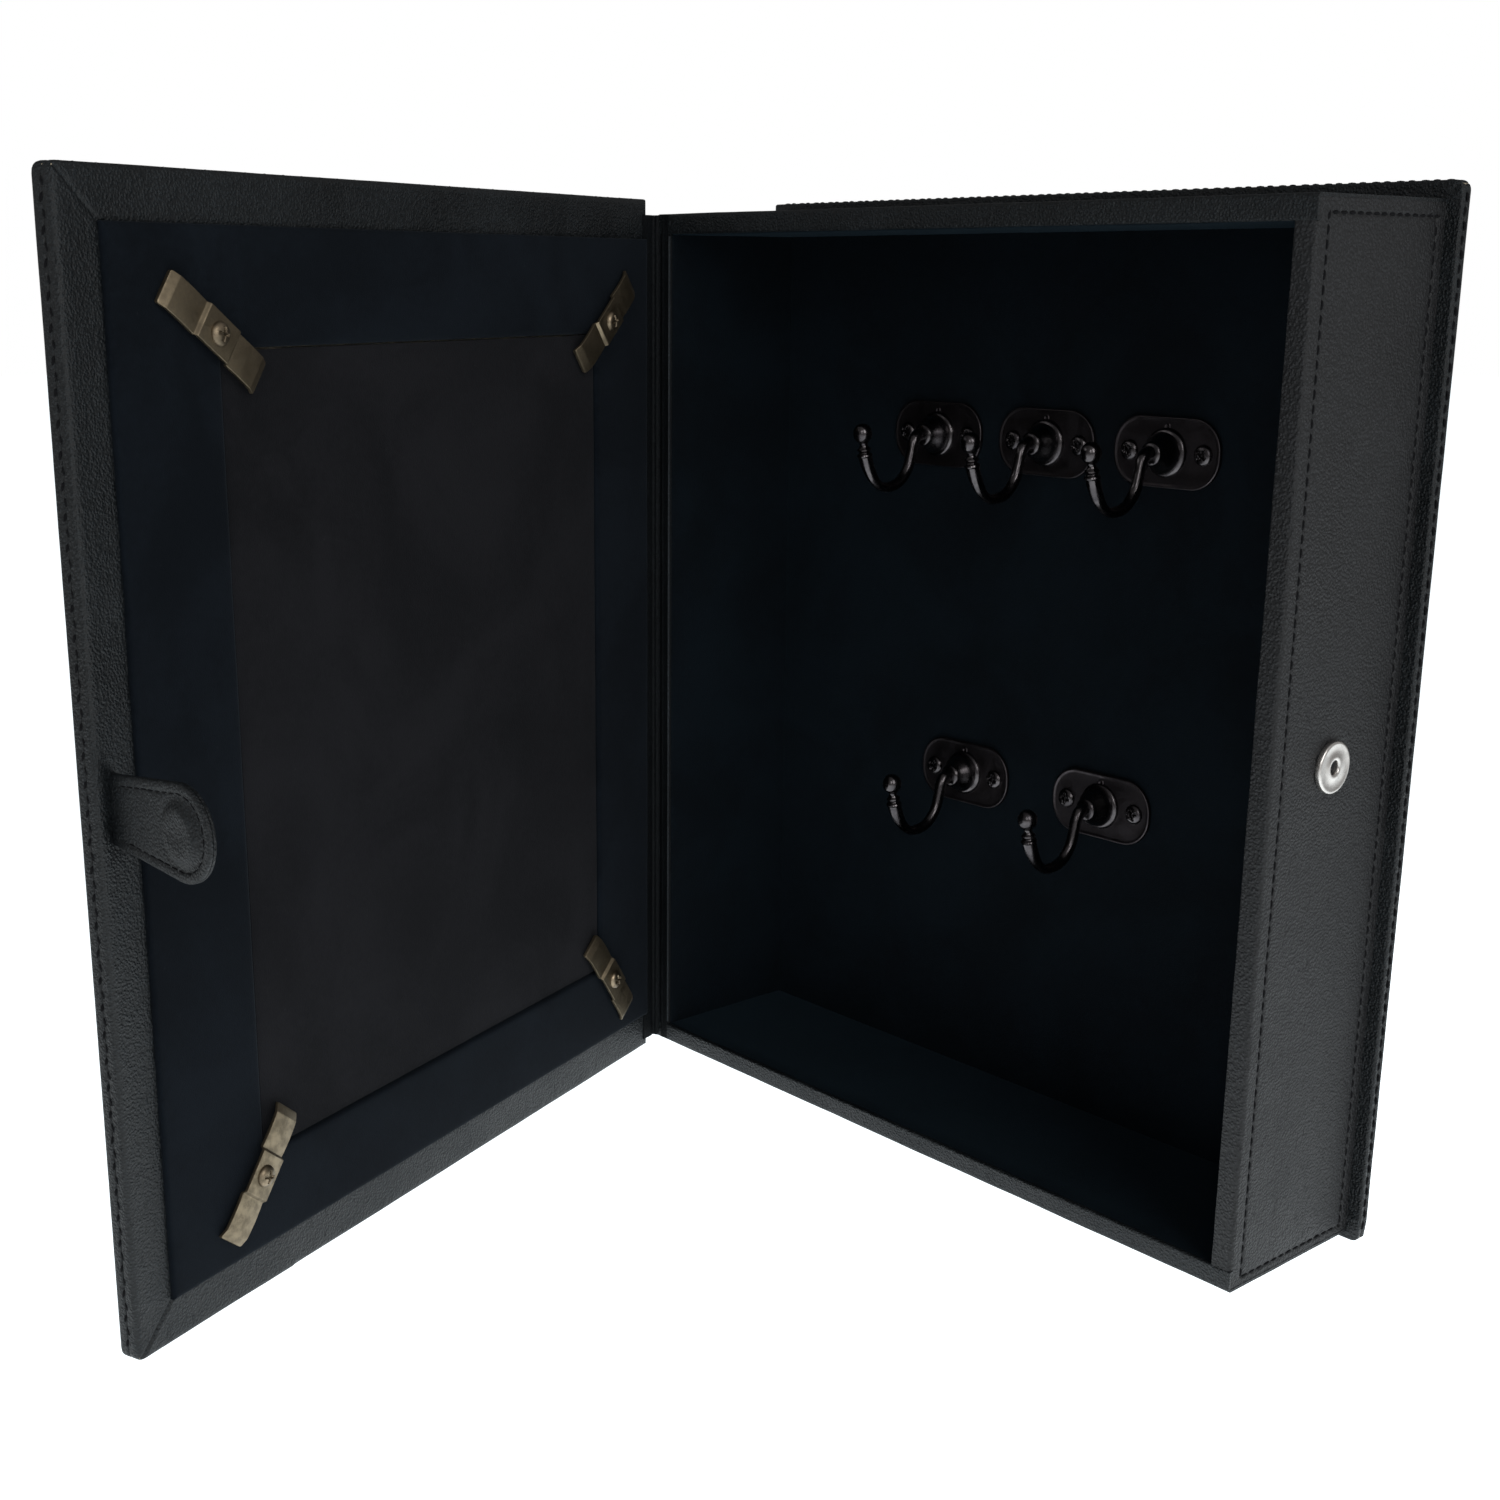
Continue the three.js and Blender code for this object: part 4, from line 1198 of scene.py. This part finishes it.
def hook_arm():
    """The boss with its rings, the J-shaped arm and the finial, out from the lining along -Y."""
    face = PLATE_T - 0.35
    boss = [
        (0, face - 0.6), (8.6, face - 0.6), (8.6, face + 0.5), (8.3, face + 1.1),
        (7.6, face + 1.5), (6.9, face + 1.7), (6.9, face + 2.0), (7.25, face + 2.6),
        (7.1, face + 3.3), (6.4, face + 4.6), (5.6, face + 5.8), (4.9, face + 7.0),
        (4.4, face + 7.9), (4.2, face + 8.6), (3.7, face + 9.1), (2.6, face + 9.4),
        (0, face + 9.5),
    ]
    base = moved(turned(boss, 56), Matrix.Rotation(math.pi / 2, 4, "X"))
    points = [Vector((0, -out, up)) for out, up in ARM_LINE]
    arm = bent_rod(points, arm_radius, 20, 56)
    finial = [
        (0, -1.6), (1.7, -1.6), (2.1, -0.9), (2.75, -0.5), (2.95, 0.0), (2.75, 0.5), (2.1, 0.8),
        (1.9, 1.2), (2.2, 1.6), (2.55, 2.0), (2.5, 2.5), (1.9, 3.0), (1.5, 3.7), (1.45, 4.4),
        (1.8, 5.0), (2.7, 5.7), (3.35, 6.8), (3.6, 8.2), (3.35, 9.6), (2.7, 10.8), (1.6, 11.7),
        (0, 12.1),
    ]
    end = points[-1]
    lean = Matrix.Translation(end) @ Matrix.Rotation(FINIAL_TILT, 4, "X")
    return together(base, arm, moved(turned(finial, 40), lean))


def add_hooks():
    arm, screw = hook_arm(), screw_head(3.7, 1.7, 1.5)
    for n in HOOKS:
        low, high = corners_in(CASE, f"hook_{n}_plate")
        x, z, y = (low.x + high.x) / 2, (low.z + high.z) / 2, high.y
        plate = hook_plate(high.x - low.x, high.z - low.z)
        name = f"hook_{n}_backplate"
        shape = moved(plate, facing_front(x, y, z))
        piece(name, shape, CASE, "case", PLATE_BRONZE, "bronze", [f"hook_{n}_plate"])
        shape = moved(arm, Matrix.Translation((x, y, z)))
        piece(f"hook_{n}_boss_and_arm", shape, CASE, "case", BRONZE, "bronze", [f"hook_{n}_arm"])
        for side, sign in (("left", -1), ("right", 1)):
            place = facing_front(x + sign * HOOK_SCREWS / 2, y - PLATE_T + 0.25, z, 0.5 * n + sign)
            node = f"hook_{n}_screw_{side}"
            piece(f"hook_{n}_wood_screw_{side}", moved(screw, place), CASE, "case", BRONZE, "bronze", [node])


# ---------------------------------------------------------------- the cover

COVER_ROUND = (
    (2.6, 0.0), (1.7, -0.06), (1.0, -0.26), (0.5, -0.62), (0.16, -1.1), (0.0, -1.7), (0.0, -2.6),
    (0.0, -3.5), (0.1, -3.9), (0.3, -4.1), (0.42, -4.25), (0.3, -4.4), (0.1, -4.6), (0.0, -5.0),
    (0.0, -5.9), (0.0, -6.8), (0.16, -7.4), (0.5, -7.88), (1.0, -8.24), (1.7, -8.44), (2.6, -8.5),
)
WINDOW_ROUND = (
    (14.0, 0.0), (8.0, 0.0), (4.0, 0.0), (2.0, 0.03), (1.0, 0.16), (0.35, 0.5), (0.0, 1.1),
    (0.0, 1.9), (0.0, 2.4),
)


def outer_rect(inset):
    """The cover's outline drawn in by inset, less on the hinge side where the velvet comes closer."""
    hinge = min(inset, velvet_low.x - cover_low.x)
    return (cover_low.x + hinge, cover_high.x - inset, cover_low.z + inset, cover_high.z - inset)


def window_rect(outset):
    """The picture's window in the cover's front, grown by outset."""
    low, high = corners_in(COVER, "glass_pane")
    lip = 5.4
    return (low.x + lip - outset, high.x - lip + outset, low.z + lip - outset, high.z - lip + outset)


SEAM_Z = cover_high.z * 0.655
FOOT_SEAM_X = cover_high.x * 0.76
TOP_SLIT_X = cover_high.x * 0.2


def overlap(d):
    """Where one piece of the turned-in leather lies over the next."""
    return 0.3 * smooth_step(d / 0.6) * smooth_step((30 - d) / 30)


def mitre(p):
    """Distance from the nearest fold line at a fore-edge corner of the cover."""
    x = cover_high.x - p.x
    z = min(p.z - cover_low.z, cover_high.z - p.z)
    return abs(x - z) / math.sqrt(2)


def add_cover_hide():
    """The cover's leather: round the edges, turned in to the velvet, and into the window."""
    section = [(outer_rect(15.6), -0.95), (outer_rect(15.6), -0.25), (outer_rect(15.0), -0.04)]
    section += [(outer_rect(inset), 0.0) for inset in (13.4, 11.6, 9.8, 8.0, 6.2, 4.4)]
    margin = len(section)
    section += [(outer_rect(inset), y) for inset, y in COVER_ROUND]
    section += [(outer_rect(inset), cover_low.y) for inset in (5.0, 9.0, 14.0, 20.0)]
    section += [(window_rect(outset), cover_low.y + depth) for outset, depth in WINDOW_ROUND]
    section += [(window_rect(1.0), cover_low.y + 2.4), (window_rect(1.0), cover_low.y + 1.05)]
    section += [(outer_rect(1.05), cover_low.y + 1.05), (outer_rect(1.05), -1.05), (outer_rect(14.6), -1.05)]
    tab_low, tab_high = corners_in(COVER, "tab_outer_leather")
    tab_z = (tab_low.z + tab_high.z) / 2
    tab_x = (COVER.inverted() @ joint_point("tab_fold")).x

    def shape(p, k):
        if k < 2 or k >= len(section) - 5:
            return Vector((0, 0, 0))
        lift = 0.13 * ripple(p, 26, 12) + 0.06 * ripple(p, 7, 13)
        if k < margin + 4:
            fore = p.x > cover_high.x - 16
            if fore and mitre(p) < 3:
                lift -= 0.5 * ridge(mitre(p) - 0.25 * ripple(p, 6, 14), 0.6)
                lift += 0.15 * ridge(mitre(p) - 1.3, 0.7)
            lift += overlap(p.z - SEAM_Z) if fore else 0
            lift += overlap(p.x - FOOT_SEAM_X) if p.z < cover_low.z + 16 else 0
            lift -= 0.5 * ridge(p.x - TOP_SLIT_X, 0.8) if p.z > cover_high.z - 16 else 0
            slot = max(abs(p.x - tab_x) - 0.3, 0), max(abs(p.z - tab_z) - 11.5, 0)
            lift -= 1.0 * ridge(math.hypot(*slot), 1.5)
            lift += 0.12 * ridge(p.x - (velvet_high.x + 1.2), 0.9) if fore else 0
            return Vector((0, lift, 0))
        if k < margin + len(COVER_ROUND) - 3:
            out = Vector((p.x - (cover_low.x + cover_high.x) / 2, 0, 0))
            if min(p.z - cover_low.z, cover_high.z - p.z) < min(cover_high.x - p.x, p.x - cover_low.x):
                out = Vector((0, 0, p.z - (cover_low.z + cover_high.z) / 2))
            return out.normalized() * lift * 0.6
        return Vector((0, -lift, 0))

    verts, faces = frame_strip(section, 130, 150, shape)
    hide = [worn_corner(p, cover_low, cover_high, BOARD_CORNER) for p in verts], faces
    piece("cover_hide", hide, COVER, "cover", LEATHER, "leather", ["cover_leather"])
    middle = (cover_low.y + cover_high.y) / 2
    sewing = edge_stitches(cover_low, cover_high, middle, inset=0.3, start=4, end=3.3, sway=0.45)
    piece("cover_edge_stitches", sewing, COVER, "cover", THREAD, "leather")


def add_velvet_frame():
    """The padded velvet border round the backing."""
    bay = (suede_low.x - 0.5, suede_high.x + 0.5, suede_low.z - 0.5, suede_high.z + 0.5)

    def outside(inset):
        return (velvet_low.x + inset, velvet_high.x - inset, velvet_low.z + inset, velvet_high.z - inset)

    def inside(outset):
        return (bay[0] - outset, bay[1] + outset, bay[2] - outset, bay[3] + outset)

    top = velvet_high.y
    section = [(outside(0.3), -0.9), (outside(0.0), -0.2)]
    section += [(outside(0.0), top * 0.45), (outside(0.2), top * 0.8)]
    crown = ((0.7, 0), (1.6, 0.06), (3.0, 0.1), (6.0, 0.12), (9.5, 0.12), (13.0, 0.12))
    section += [(outside(inset), top + rise) for inset, rise in crown]
    fall = ((9.0, 0.12), (5.0, 0.1), (2.4, 0.06), (1.3, 0), (0.6, -0.2), (0.15, -0.6), (0.0, -1.1))
    section += [(inside(outset), top + rise) for outset, rise in fall]
    section += [(inside(0.0), -0.9)]

    def shape(p, k):
        if k < 3 or k > len(section) - 3:
            return Vector((0, 0, 0))
        return Vector((0, 0.12 * ripple(p, 32, 15) + 0.04 * ripple(p, 8, 16), 0))

    velvet = frame_strip(section, 80, 100, shape)
    piece("cover_velvet", velvet, COVER, "cover", VELVET, "velvet", ["velvet_frame"])


def add_backing():
    """The suede on the backing board, pressed a little hollow by the turn buttons."""
    low = Vector((suede_low.x, suede_low.y - 1.0, suede_low.z))
    high = Vector((suede_high.x, suede_high.y, suede_high.z))

    def shape(p, normal):
        if normal.y < 0.9:
            return 0.05 * ripple(p, 12, 17)
        edge = min(p.x - low.x, high.x - p.x, p.z - low.z, high.z - p.z)
        return 0.16 * ripple(p, 60, 18) + 0.04 * ripple(p, 11, 19) - 0.1 * ridge(edge - 3.0, 1.5)

    block = soft_board(low, high, 0.45, 5, ((), (), ()), shape)
    piece("backing_suede_face", block, COVER, "cover", SUEDE, "suede", ["backing_suede"])


# ---------------------------------------------------------------- the turn buttons

BUTTON_BOSS = 7.0
BUTTON_T = 1.2
BUTTON_END_ROUND = 0.6
LIP_RUN = 3.0
LIP_DROP = 1.3


def button_height(x, half, rise):
    """The height of the strip's underside: curved arms, a raised middle and turned-down ends."""
    x = abs(x)
    step_up = (rise - BUTTON_T - LIP_DROP) * smooth_step((BUTTON_BOSS + 1.0 - x) / 1.1)
    over_lip = min(max((x - half + LIP_RUN) / LIP_RUN, 0), 1)
    along_arm = min(max((x - BUTTON_BOSS) / (half - BUTTON_BOSS - LIP_RUN), 0), 1)
    return LIP_DROP * (1 - over_lip) + step_up + 0.3 * math.sin(math.pi * along_arm)


def turn_button(length, width, rise):
    """A stamped strip, X along it and Y up from the velvet."""
    half = length / 2
    marks = []
    for sign in (-1, 1):
        marks += [sign * (BUTTON_BOSS + d) for d in (-0.3, -0.1, 0.1, 0.35, 0.6, 0.85, 1.05, 1.25, 1.5)]
        marks += [sign * (half - d) for d in (0.12, 0.35, 0.7, 1.1, 1.6, 2.1, 2.5, 2.8, 3.1, 3.4)]
    rings = []
    for x in steps(-half, half, 1.6, marks):
        to_end = half - abs(x)
        r = BUTTON_END_ROUND
        w = width / 2 - (r - math.sqrt(max(0.0, r * r - max(0.0, r - to_end) ** 2)))
        y = button_height(x, half, rise)
        e = 0.16
        ring = []
        for cx, cy, start in ((1, 1, 0), (-1, 1, 90), (-1, 0, 180), (1, 0, 270)):
            for k in range(4):
                a = math.radians(start + 30 * k)
                ring.append(
                    Vector(
                        (
                            x,
                            y + (BUTTON_T - e if cy else e) + e * math.sin(a),
                            cx * (w - e) + e * math.cos(a),
                        )
                    )
                )
        rings.append(ring)
    return loft(rings)


def add_turn_buttons():
    screw = screw_head(3.6, 1.9, 1.5)
    low, high = corners_in(button_place("top_fore"), "turn_button_top_fore")
    rise = high.y - low.y
    shape = turn_button(high.x - low.x, high.z - low.z, rise)
    for number, corner in enumerate(CORNERS):
        place = button_place(corner)
        name = f"turn_button_{corner}_strip"
        body = f"turn_button_{corner}"
        piece(name, shape, place, body, BRASS, "brass", [body], sharp=30)
        stand = Matrix.Translation((0, rise + 0.05, 0)) @ Matrix.Rotation(-math.pi / 2, 4, "X")
        spin = Matrix.Rotation(0.35 + number * 0.8, 4, "Z")
        node = f"button_screw_{corner}"
        head = moved(screw, stand @ spin)
        piece(f"{body}_screw", head, place, "cover", BRASS_SCREW, "brass", [node])


# ---------------------------------------------------------------- the closing tab

TAB_IN_SLOT = 4.0
TAB_LAYER = 1.2
TAB_SEAM = 0.1


def tab_sizes():
    low, high = corners_in(TAB, "tab_outer_leather")
    end_r = (high.z - low.z) / 2
    reach = high.y - end_r
    base = 21.5 / 2
    away = math.hypot(reach, base)
    turn = math.asin(end_r / away) - math.atan2(base, reach)
    tangent = math.sqrt(away * away - end_r * end_r) * math.cos(turn)
    return reach, end_r, base, turn, tangent


def add_tab():
    """Two layers of leather sewn together, wider at the end, over the snap's stud."""
    reach, end_r, base, turn, tangent = tab_sizes()

    def half_width(y):
        if y <= 0:
            return base
        if y <= tangent:
            return base + y * math.tan(turn)
        return math.sqrt(max(0.0, end_r**2 - (y - reach) ** 2))

    def to_edge(y, z):
        if y > tangent:
            return end_r - math.hypot(y - reach, z)
        return (half_width(y) - abs(z)) * math.cos(turn)

    around = [reach + end_r * math.sin(math.radians(a)) for a in range(0, 90, 6)]
    rows = steps(-TAB_IN_SLOT, reach - 1.2, 1.1) + around + [reach + end_r * math.sin(math.radians(89.3))]
    columns = [math.sin(math.pi / 2 * k / 20) for k in range(-20, 21)]

    def thickness(y, z, domed):
        d = max(to_edge(y, z), 0)
        edge = math.sqrt(max(0.0, 1 - (1 - min(d / 0.8, 1)) ** 2))
        t = TAB_LAYER * (0.35 + 0.65 * edge)
        sewn = smooth_step((y - 1) / 3)
        t -= sewn * 0.34 * ridge(d - 3.1, 0.42)
        t += sewn * 0.16 * ridge(d - 1.6, 1.0) + 0.07 * ripple((y, z, 0), 9, 20)
        if domed:
            q = math.hypot(y - reach, z)
            t += 1.5 * smooth_step((9.4 - q) / 2.6) - 0.5 * smooth_step((6 - q) / 5)
            t += 0.16 * ripple((y, z, 3), 4, 24) * smooth_step((9 - q) / 4) - 0.3 * ridge(q - 10.2, 0.8)
        return t

    for name, node, side in (("tab_front", "tab_outer_leather", 1), ("tab_back", "tab_lining_leather", -1)):
        rings = []
        for y in rows:
            w = half_width(y)
            face = [Vector((side * (TAB_SEAM + thickness(y, w * c, side > 0)), y, w * c)) for c in columns]
            under = [Vector((side * TAB_SEAM, y, w * c)) for c in reversed(columns)]
            rings.append(face + under)
        made = piece(name, loft(rings), TAB, None, LEATHER, "leather", [node])
        bend_at_slot(made)
    inset = 3.1
    path, other = [], []
    for y in steps(3.5, tangent, 2):
        path.append(Vector((0, y, half_width(y) - inset)))
        other.append(Vector((0, y, -half_width(y) + inset)))
    start = math.pi / 2 + turn
    for k in range(1, 24):
        a = start - 2 * start * k / 24
        path.append(Vector((0, reach + (end_r - inset) * math.cos(a), (end_r - inset) * math.sin(a))))
    path += other[::-1]
    front = [p + Vector((TAB_SEAM + TAB_LAYER - 0.22, 0, 0)) for p in path]
    sewing = stitches(front, (1, 0, 0), pitch=3.6, thread=0.24)
    piece("tab_stitches", sewing, TAB, "tab", THREAD, "leather")
    low, high = corners_in(TAB, "tab_snap_stud")
    r = (high.z - low.z) / 2
    centre = (low.y + high.y) / 2
    stud = [
        (0, 0.6), (1.5, 0.6), (1.5, 1.3), (r - 0.2, 1.32), (r, 1.55), (r, 1.9), (r - 0.25, 2.2),
        (r - 0.8, 2.33), (4.2, 2.33), (3.4, 2.22), (2.4, 2.3), (1.9, 2.5), (1.85, 3.2),
        (1.5, 3.55), (0, 3.62),
    ]
    aim = Matrix.Translation((0, centre, 0)) @ Matrix.Rotation(-math.pi / 2, 4, "Y")
    piece("tab_stud", moved(turned(stud, 64), aim), TAB, "tab", NICKEL, "nickel", ["tab_snap_stud"])


def bend_at_slot(made):
    """The tab's leather stays in its slot at one end and follows the tab at the other."""
    start, end = TAB @ Vector((0, -0.5, 0)), TAB @ Vector((0, 6.5, 0))
    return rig.blend(made, "cover", "tab", start=start, end=end)


# ---------------------------------------------------------------- the hinge


def from_cover(x, y):
    """A place on the cover, seen from above in the case's frame, in mm."""
    p = CASE.inverted() @ COVER @ Vector((x, y, 0))
    return Vector((p.x, p.y))


def add_inner_hinge():
    """The leather that runs from the tray's rim, down the gutter, to under the velvet."""
    x = -tray_high.x
    points = [
        Vector((x + 6.9, RIM_Y - 0.35)),
        Vector((x + 1.0, RIM_Y - 0.4)),
        Vector((x - 1.6, RIM_Y - 1.6)),
        from_cover(0.6, 0.9),
        from_cover(2.6, 0.55),
        from_cover(5.2, 0.35),
    ]
    line = bent_line(points, 1.4, 0.3)
    total = line[-1][1]

    def proud(run, z):
        ribs = sum(ridge(run - total * place, 0.5) for place in (0.22, 0.44, 0.62))
        hollow = 0.4 * ridge(run - total * 0.33, 0.9)
        wander = 0.8 + 0.5 * ripple((run, 0, z), 40, 21)
        return 0.3 * ribs * wander - hollow + 0.14 * ripple((run, 0, z), 18, 22)

    low, high = tray_low.z + 0.6, tray_high.z - 0.4
    stations = steps(low, high, 3)
    shape = hide_strip(line, stations, 0.5, upright, proud)
    made = piece("inner_hinge_hide", shape, CASE, None, HINGE_LEATHER, "leather")
    start, end = Vector((x * MM, (RIM_Y - 0.6) * MM, 0)), Vector((x * MM, (from_cover(3.2, 0).y) * MM, 0))
    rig.blend(made, "case", "cover", start=start, end=end)
    # A thin light strip along the rim's inner edge: a painted highlight where that edge catches the light, not a real
    # cut edge.
    lip = soft_board((-INNER_X - 0.5, RIM_Y - 0.6, low + 8), (-INNER_X - 0.1, RIM_Y + 0.3, high - 8), 0.18, 4)
    piece("inner_hinge_cut_edge", lip, CASE, "case", EDGE_HIGHLIGHT_LEATHER, "leather")


def add_outer_hinge():
    """The leather between the spine and the cover's outer face."""
    points = [
        Vector((spine_low.x - 0.35, spine_low.y + 5)),
        Vector((spine_low.x - 0.35, spine_low.y - 1)),
        Vector((spine_low.x - 0.9, RIM_Y)),
        from_cover(-1.2, cover_low.y + 1.5),
        from_cover(1.6, cover_low.y - 0.35),
        from_cover(6.5, cover_low.y - 0.4),
    ]
    line = bent_line(points[::-1], 2.5, 0.8)
    total = line[-1][1]

    def proud(run, z):
        flutes = 0.25 * (ridge(run - total * 0.38, 0.8) + ridge(run - total * 0.55, 0.8))
        return flutes + 0.15 * ripple((run, 0, z), 20, 23)

    stations = steps(tray_low.z + 0.3, tray_high.z - 0.3, 4)
    shape = hide_strip(line, stations, 0.9, upright, proud)
    made = piece("outer_hinge_hide", shape, CASE, None, LEATHER, "leather")
    start = Vector((points[1].x * MM, points[1].y * MM, 0))
    end = Vector((points[1].x * MM, points[4].y * MM, 0))
    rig.blend(made, "case", "cover", start=start, end=end)


# ---------------------------------------------------------------- finishes of the CAD pieces that show

NODE_FINISHES = (
    ("glass_pane", GLASS), ("picture_insert", PRINT), ("snap_magnet", MAGNET),
    ("snap_socket_washer", NICKEL), ("tab_snap_washer", NICKEL),
)


def finish_cad_nodes():
    finishes = dict(NODE_FINISHES)
    for name, node in frame["nodes"].items():
        node.data.materials.clear()
        node.data.materials.append(finishes.get(name, CARD))


# ---------------------------------------------------------------- floor, light and camera


FLOOR_HALF, FLOOR_CELLS, FLOOR_GAP = 6.0, 24, 0.0002


def add_floor():
    made, work, shader = new_finish("pale floor")
    where = work.here()
    cloud = work.waves(where, 3.0, 4.0)
    work.join(work.mix(cloud, (0.93, 0.93, 0.93), (0.95, 0.95, 0.95)), shader.inputs["Base Color"])
    work.join(work.between(cloud, 0.3, 0.7, 0.8, 0.9), shader.inputs["Roughness"])
    shader.inputs["Specular IOR Level"].default_value = 0.1
    away = work.node("VectorMath", operation="LENGTH")
    work.join(where, away.inputs[0])
    pool = work.between(away.outputs["Value"], 0.1, 1.3, 1.5, 0.05)
    seen = work.maths("MULTIPLY", work.node("LightPath").outputs["Is Camera Ray"], 0.95)
    work.join(work.maths("MAXIMUM", pool, seen), shader.inputs["Emission Strength"])
    shader.inputs["Emission Color"].default_value = (0.88, 0.96, 1.0, 1)
    half, cells = FLOOR_HALF, FLOOR_CELLS
    verts = [
        ((i / cells * 2 - 1) * half, (j / cells * 2 - 1) * half, cad_bounds[0].z - FLOOR_GAP)
        for j in range(cells + 1)
        for i in range(cells + 1)
    ]
    row = cells + 1
    faces = [
        (j * row + i, j * row + i + 1, (j + 1) * row + i + 1, (j + 1) * row + i)
        for j in range(cells)
        for i in range(cells)
    ]
    mesh = bpy.data.meshes.new("floor")
    mesh.from_pydata(verts, [], faces)
    mesh.materials.append(made)
    floor = bpy.data.objects.new("floor", mesh)
    bpy.context.scene.collection.objects.link(floor)
    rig.stage(floor)


def add_world():
    """White all round to the eye, and softer where it lights the box."""
    world = bpy.data.worlds.new("studio")
    bpy.context.scene.world = world
    world.use_nodes = True
    work = Finish(world.node_tree)
    background = world.node_tree.nodes["Background"]
    rays = work.node("LightPath")
    way = work.node("SeparateXYZ")
    work.join(work.node("TexCoord").outputs["Generated"], way.inputs[0])
    window = work.between(way.outputs["X"], -0.4, 1.0, 0.14, 0.52)
    work.join(work.maths("MAXIMUM", window, rays.outputs["Is Camera Ray"]), background.inputs["Strength"])
    background.inputs["Color"].default_value = (1.0, 1.0, 1.0, 1)


# name, place, what it points at, size, power
LIGHTS = (
    ("key", (1.9, -0.55, 1.2), (0, -0.15, 0.1), (1.2, 1.2), 20),
    ("fill", (-1.2, -1.6, 1.0), (0, -0.1, 0.15), (1.2, 1.0), 3),
    ("glints", (1.0, -1.5, 0.9), (0, 0, 0.2), (0.35, 0.7), 3.5),
)


def add_light(name, place, aim, size, power):
    light = bpy.data.lights.new(name, "AREA")
    light.shape = "RECTANGLE"
    light.size, light.size_y = size
    light.energy = power
    made = bpy.data.objects.new(name, light)
    made.location = place
    made.rotation_euler = (Vector(aim) - Vector(place)).to_track_quat("-Z", "Y").to_euler()
    bpy.context.scene.collection.objects.link(made)


CAMERA_PLACE = (0.474329, -0.581165, 0.322203)
CAMERA_YAW, CAMERA_PITCH, CAMERA_ROLL = (math.radians(a) for a in (-49.975, 14.776, 0.201))
CAMERA_LENS = 47.3
CAMERA_SHIFT = (0.04815, 0.03138)
SENSOR_WIDTH = 36.0


def add_camera():
    """Standing in front of the fore-edge side, a little above the box, looking down on it."""
    yaw, pitch, roll = CAMERA_YAW, CAMERA_PITCH, CAMERA_ROLL
    ahead = Vector((math.sin(yaw) * math.cos(pitch), math.cos(yaw) * math.cos(pitch), -math.sin(pitch)))
    right = Vector((math.cos(yaw), -math.sin(yaw), 0))
    up = right.cross(ahead)
    level_right = right * math.cos(roll) + up * math.sin(roll)
    level_up = up * math.cos(roll) - right * math.sin(roll)
    turn = Matrix((level_right, level_up, -ahead)).transposed().to_4x4()
    data = bpy.data.cameras.new("camera")
    data.lens = CAMERA_LENS
    data.sensor_width = SENSOR_WIDTH
    data.shift_x, data.shift_y = CAMERA_SHIFT
    data.clip_start, data.clip_end = 0.02, 50
    camera = bpy.data.objects.new("camera", data)
    camera.matrix_world = Matrix.Translation(CAMERA_PLACE) @ turn
    bpy.context.scene.collection.objects.link(camera)
    bpy.context.scene.camera = camera


finish_cad_nodes()
add_back_board()
add_spine()
add_side_panel()
add_top_and_bottom_hides()
add_hinge_side_hide()
add_tray_lining()
add_snap_socket()
add_hooks()
add_cover_hide()
add_velvet_frame()
add_backing()
add_turn_buttons()
add_tab()
add_inner_hinge()
add_outer_hinge()
add_floor()
add_world()
for light in LIGHTS:
    add_light(*light)
add_camera()
bpy.context.scene.view_settings.view_transform = "Standard"

with open("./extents.json", "w") as sizes:
    json.dump({"cad": [list(c) for c in cad_bounds], "visual": [list(c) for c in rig.bounds()]}, sizes)
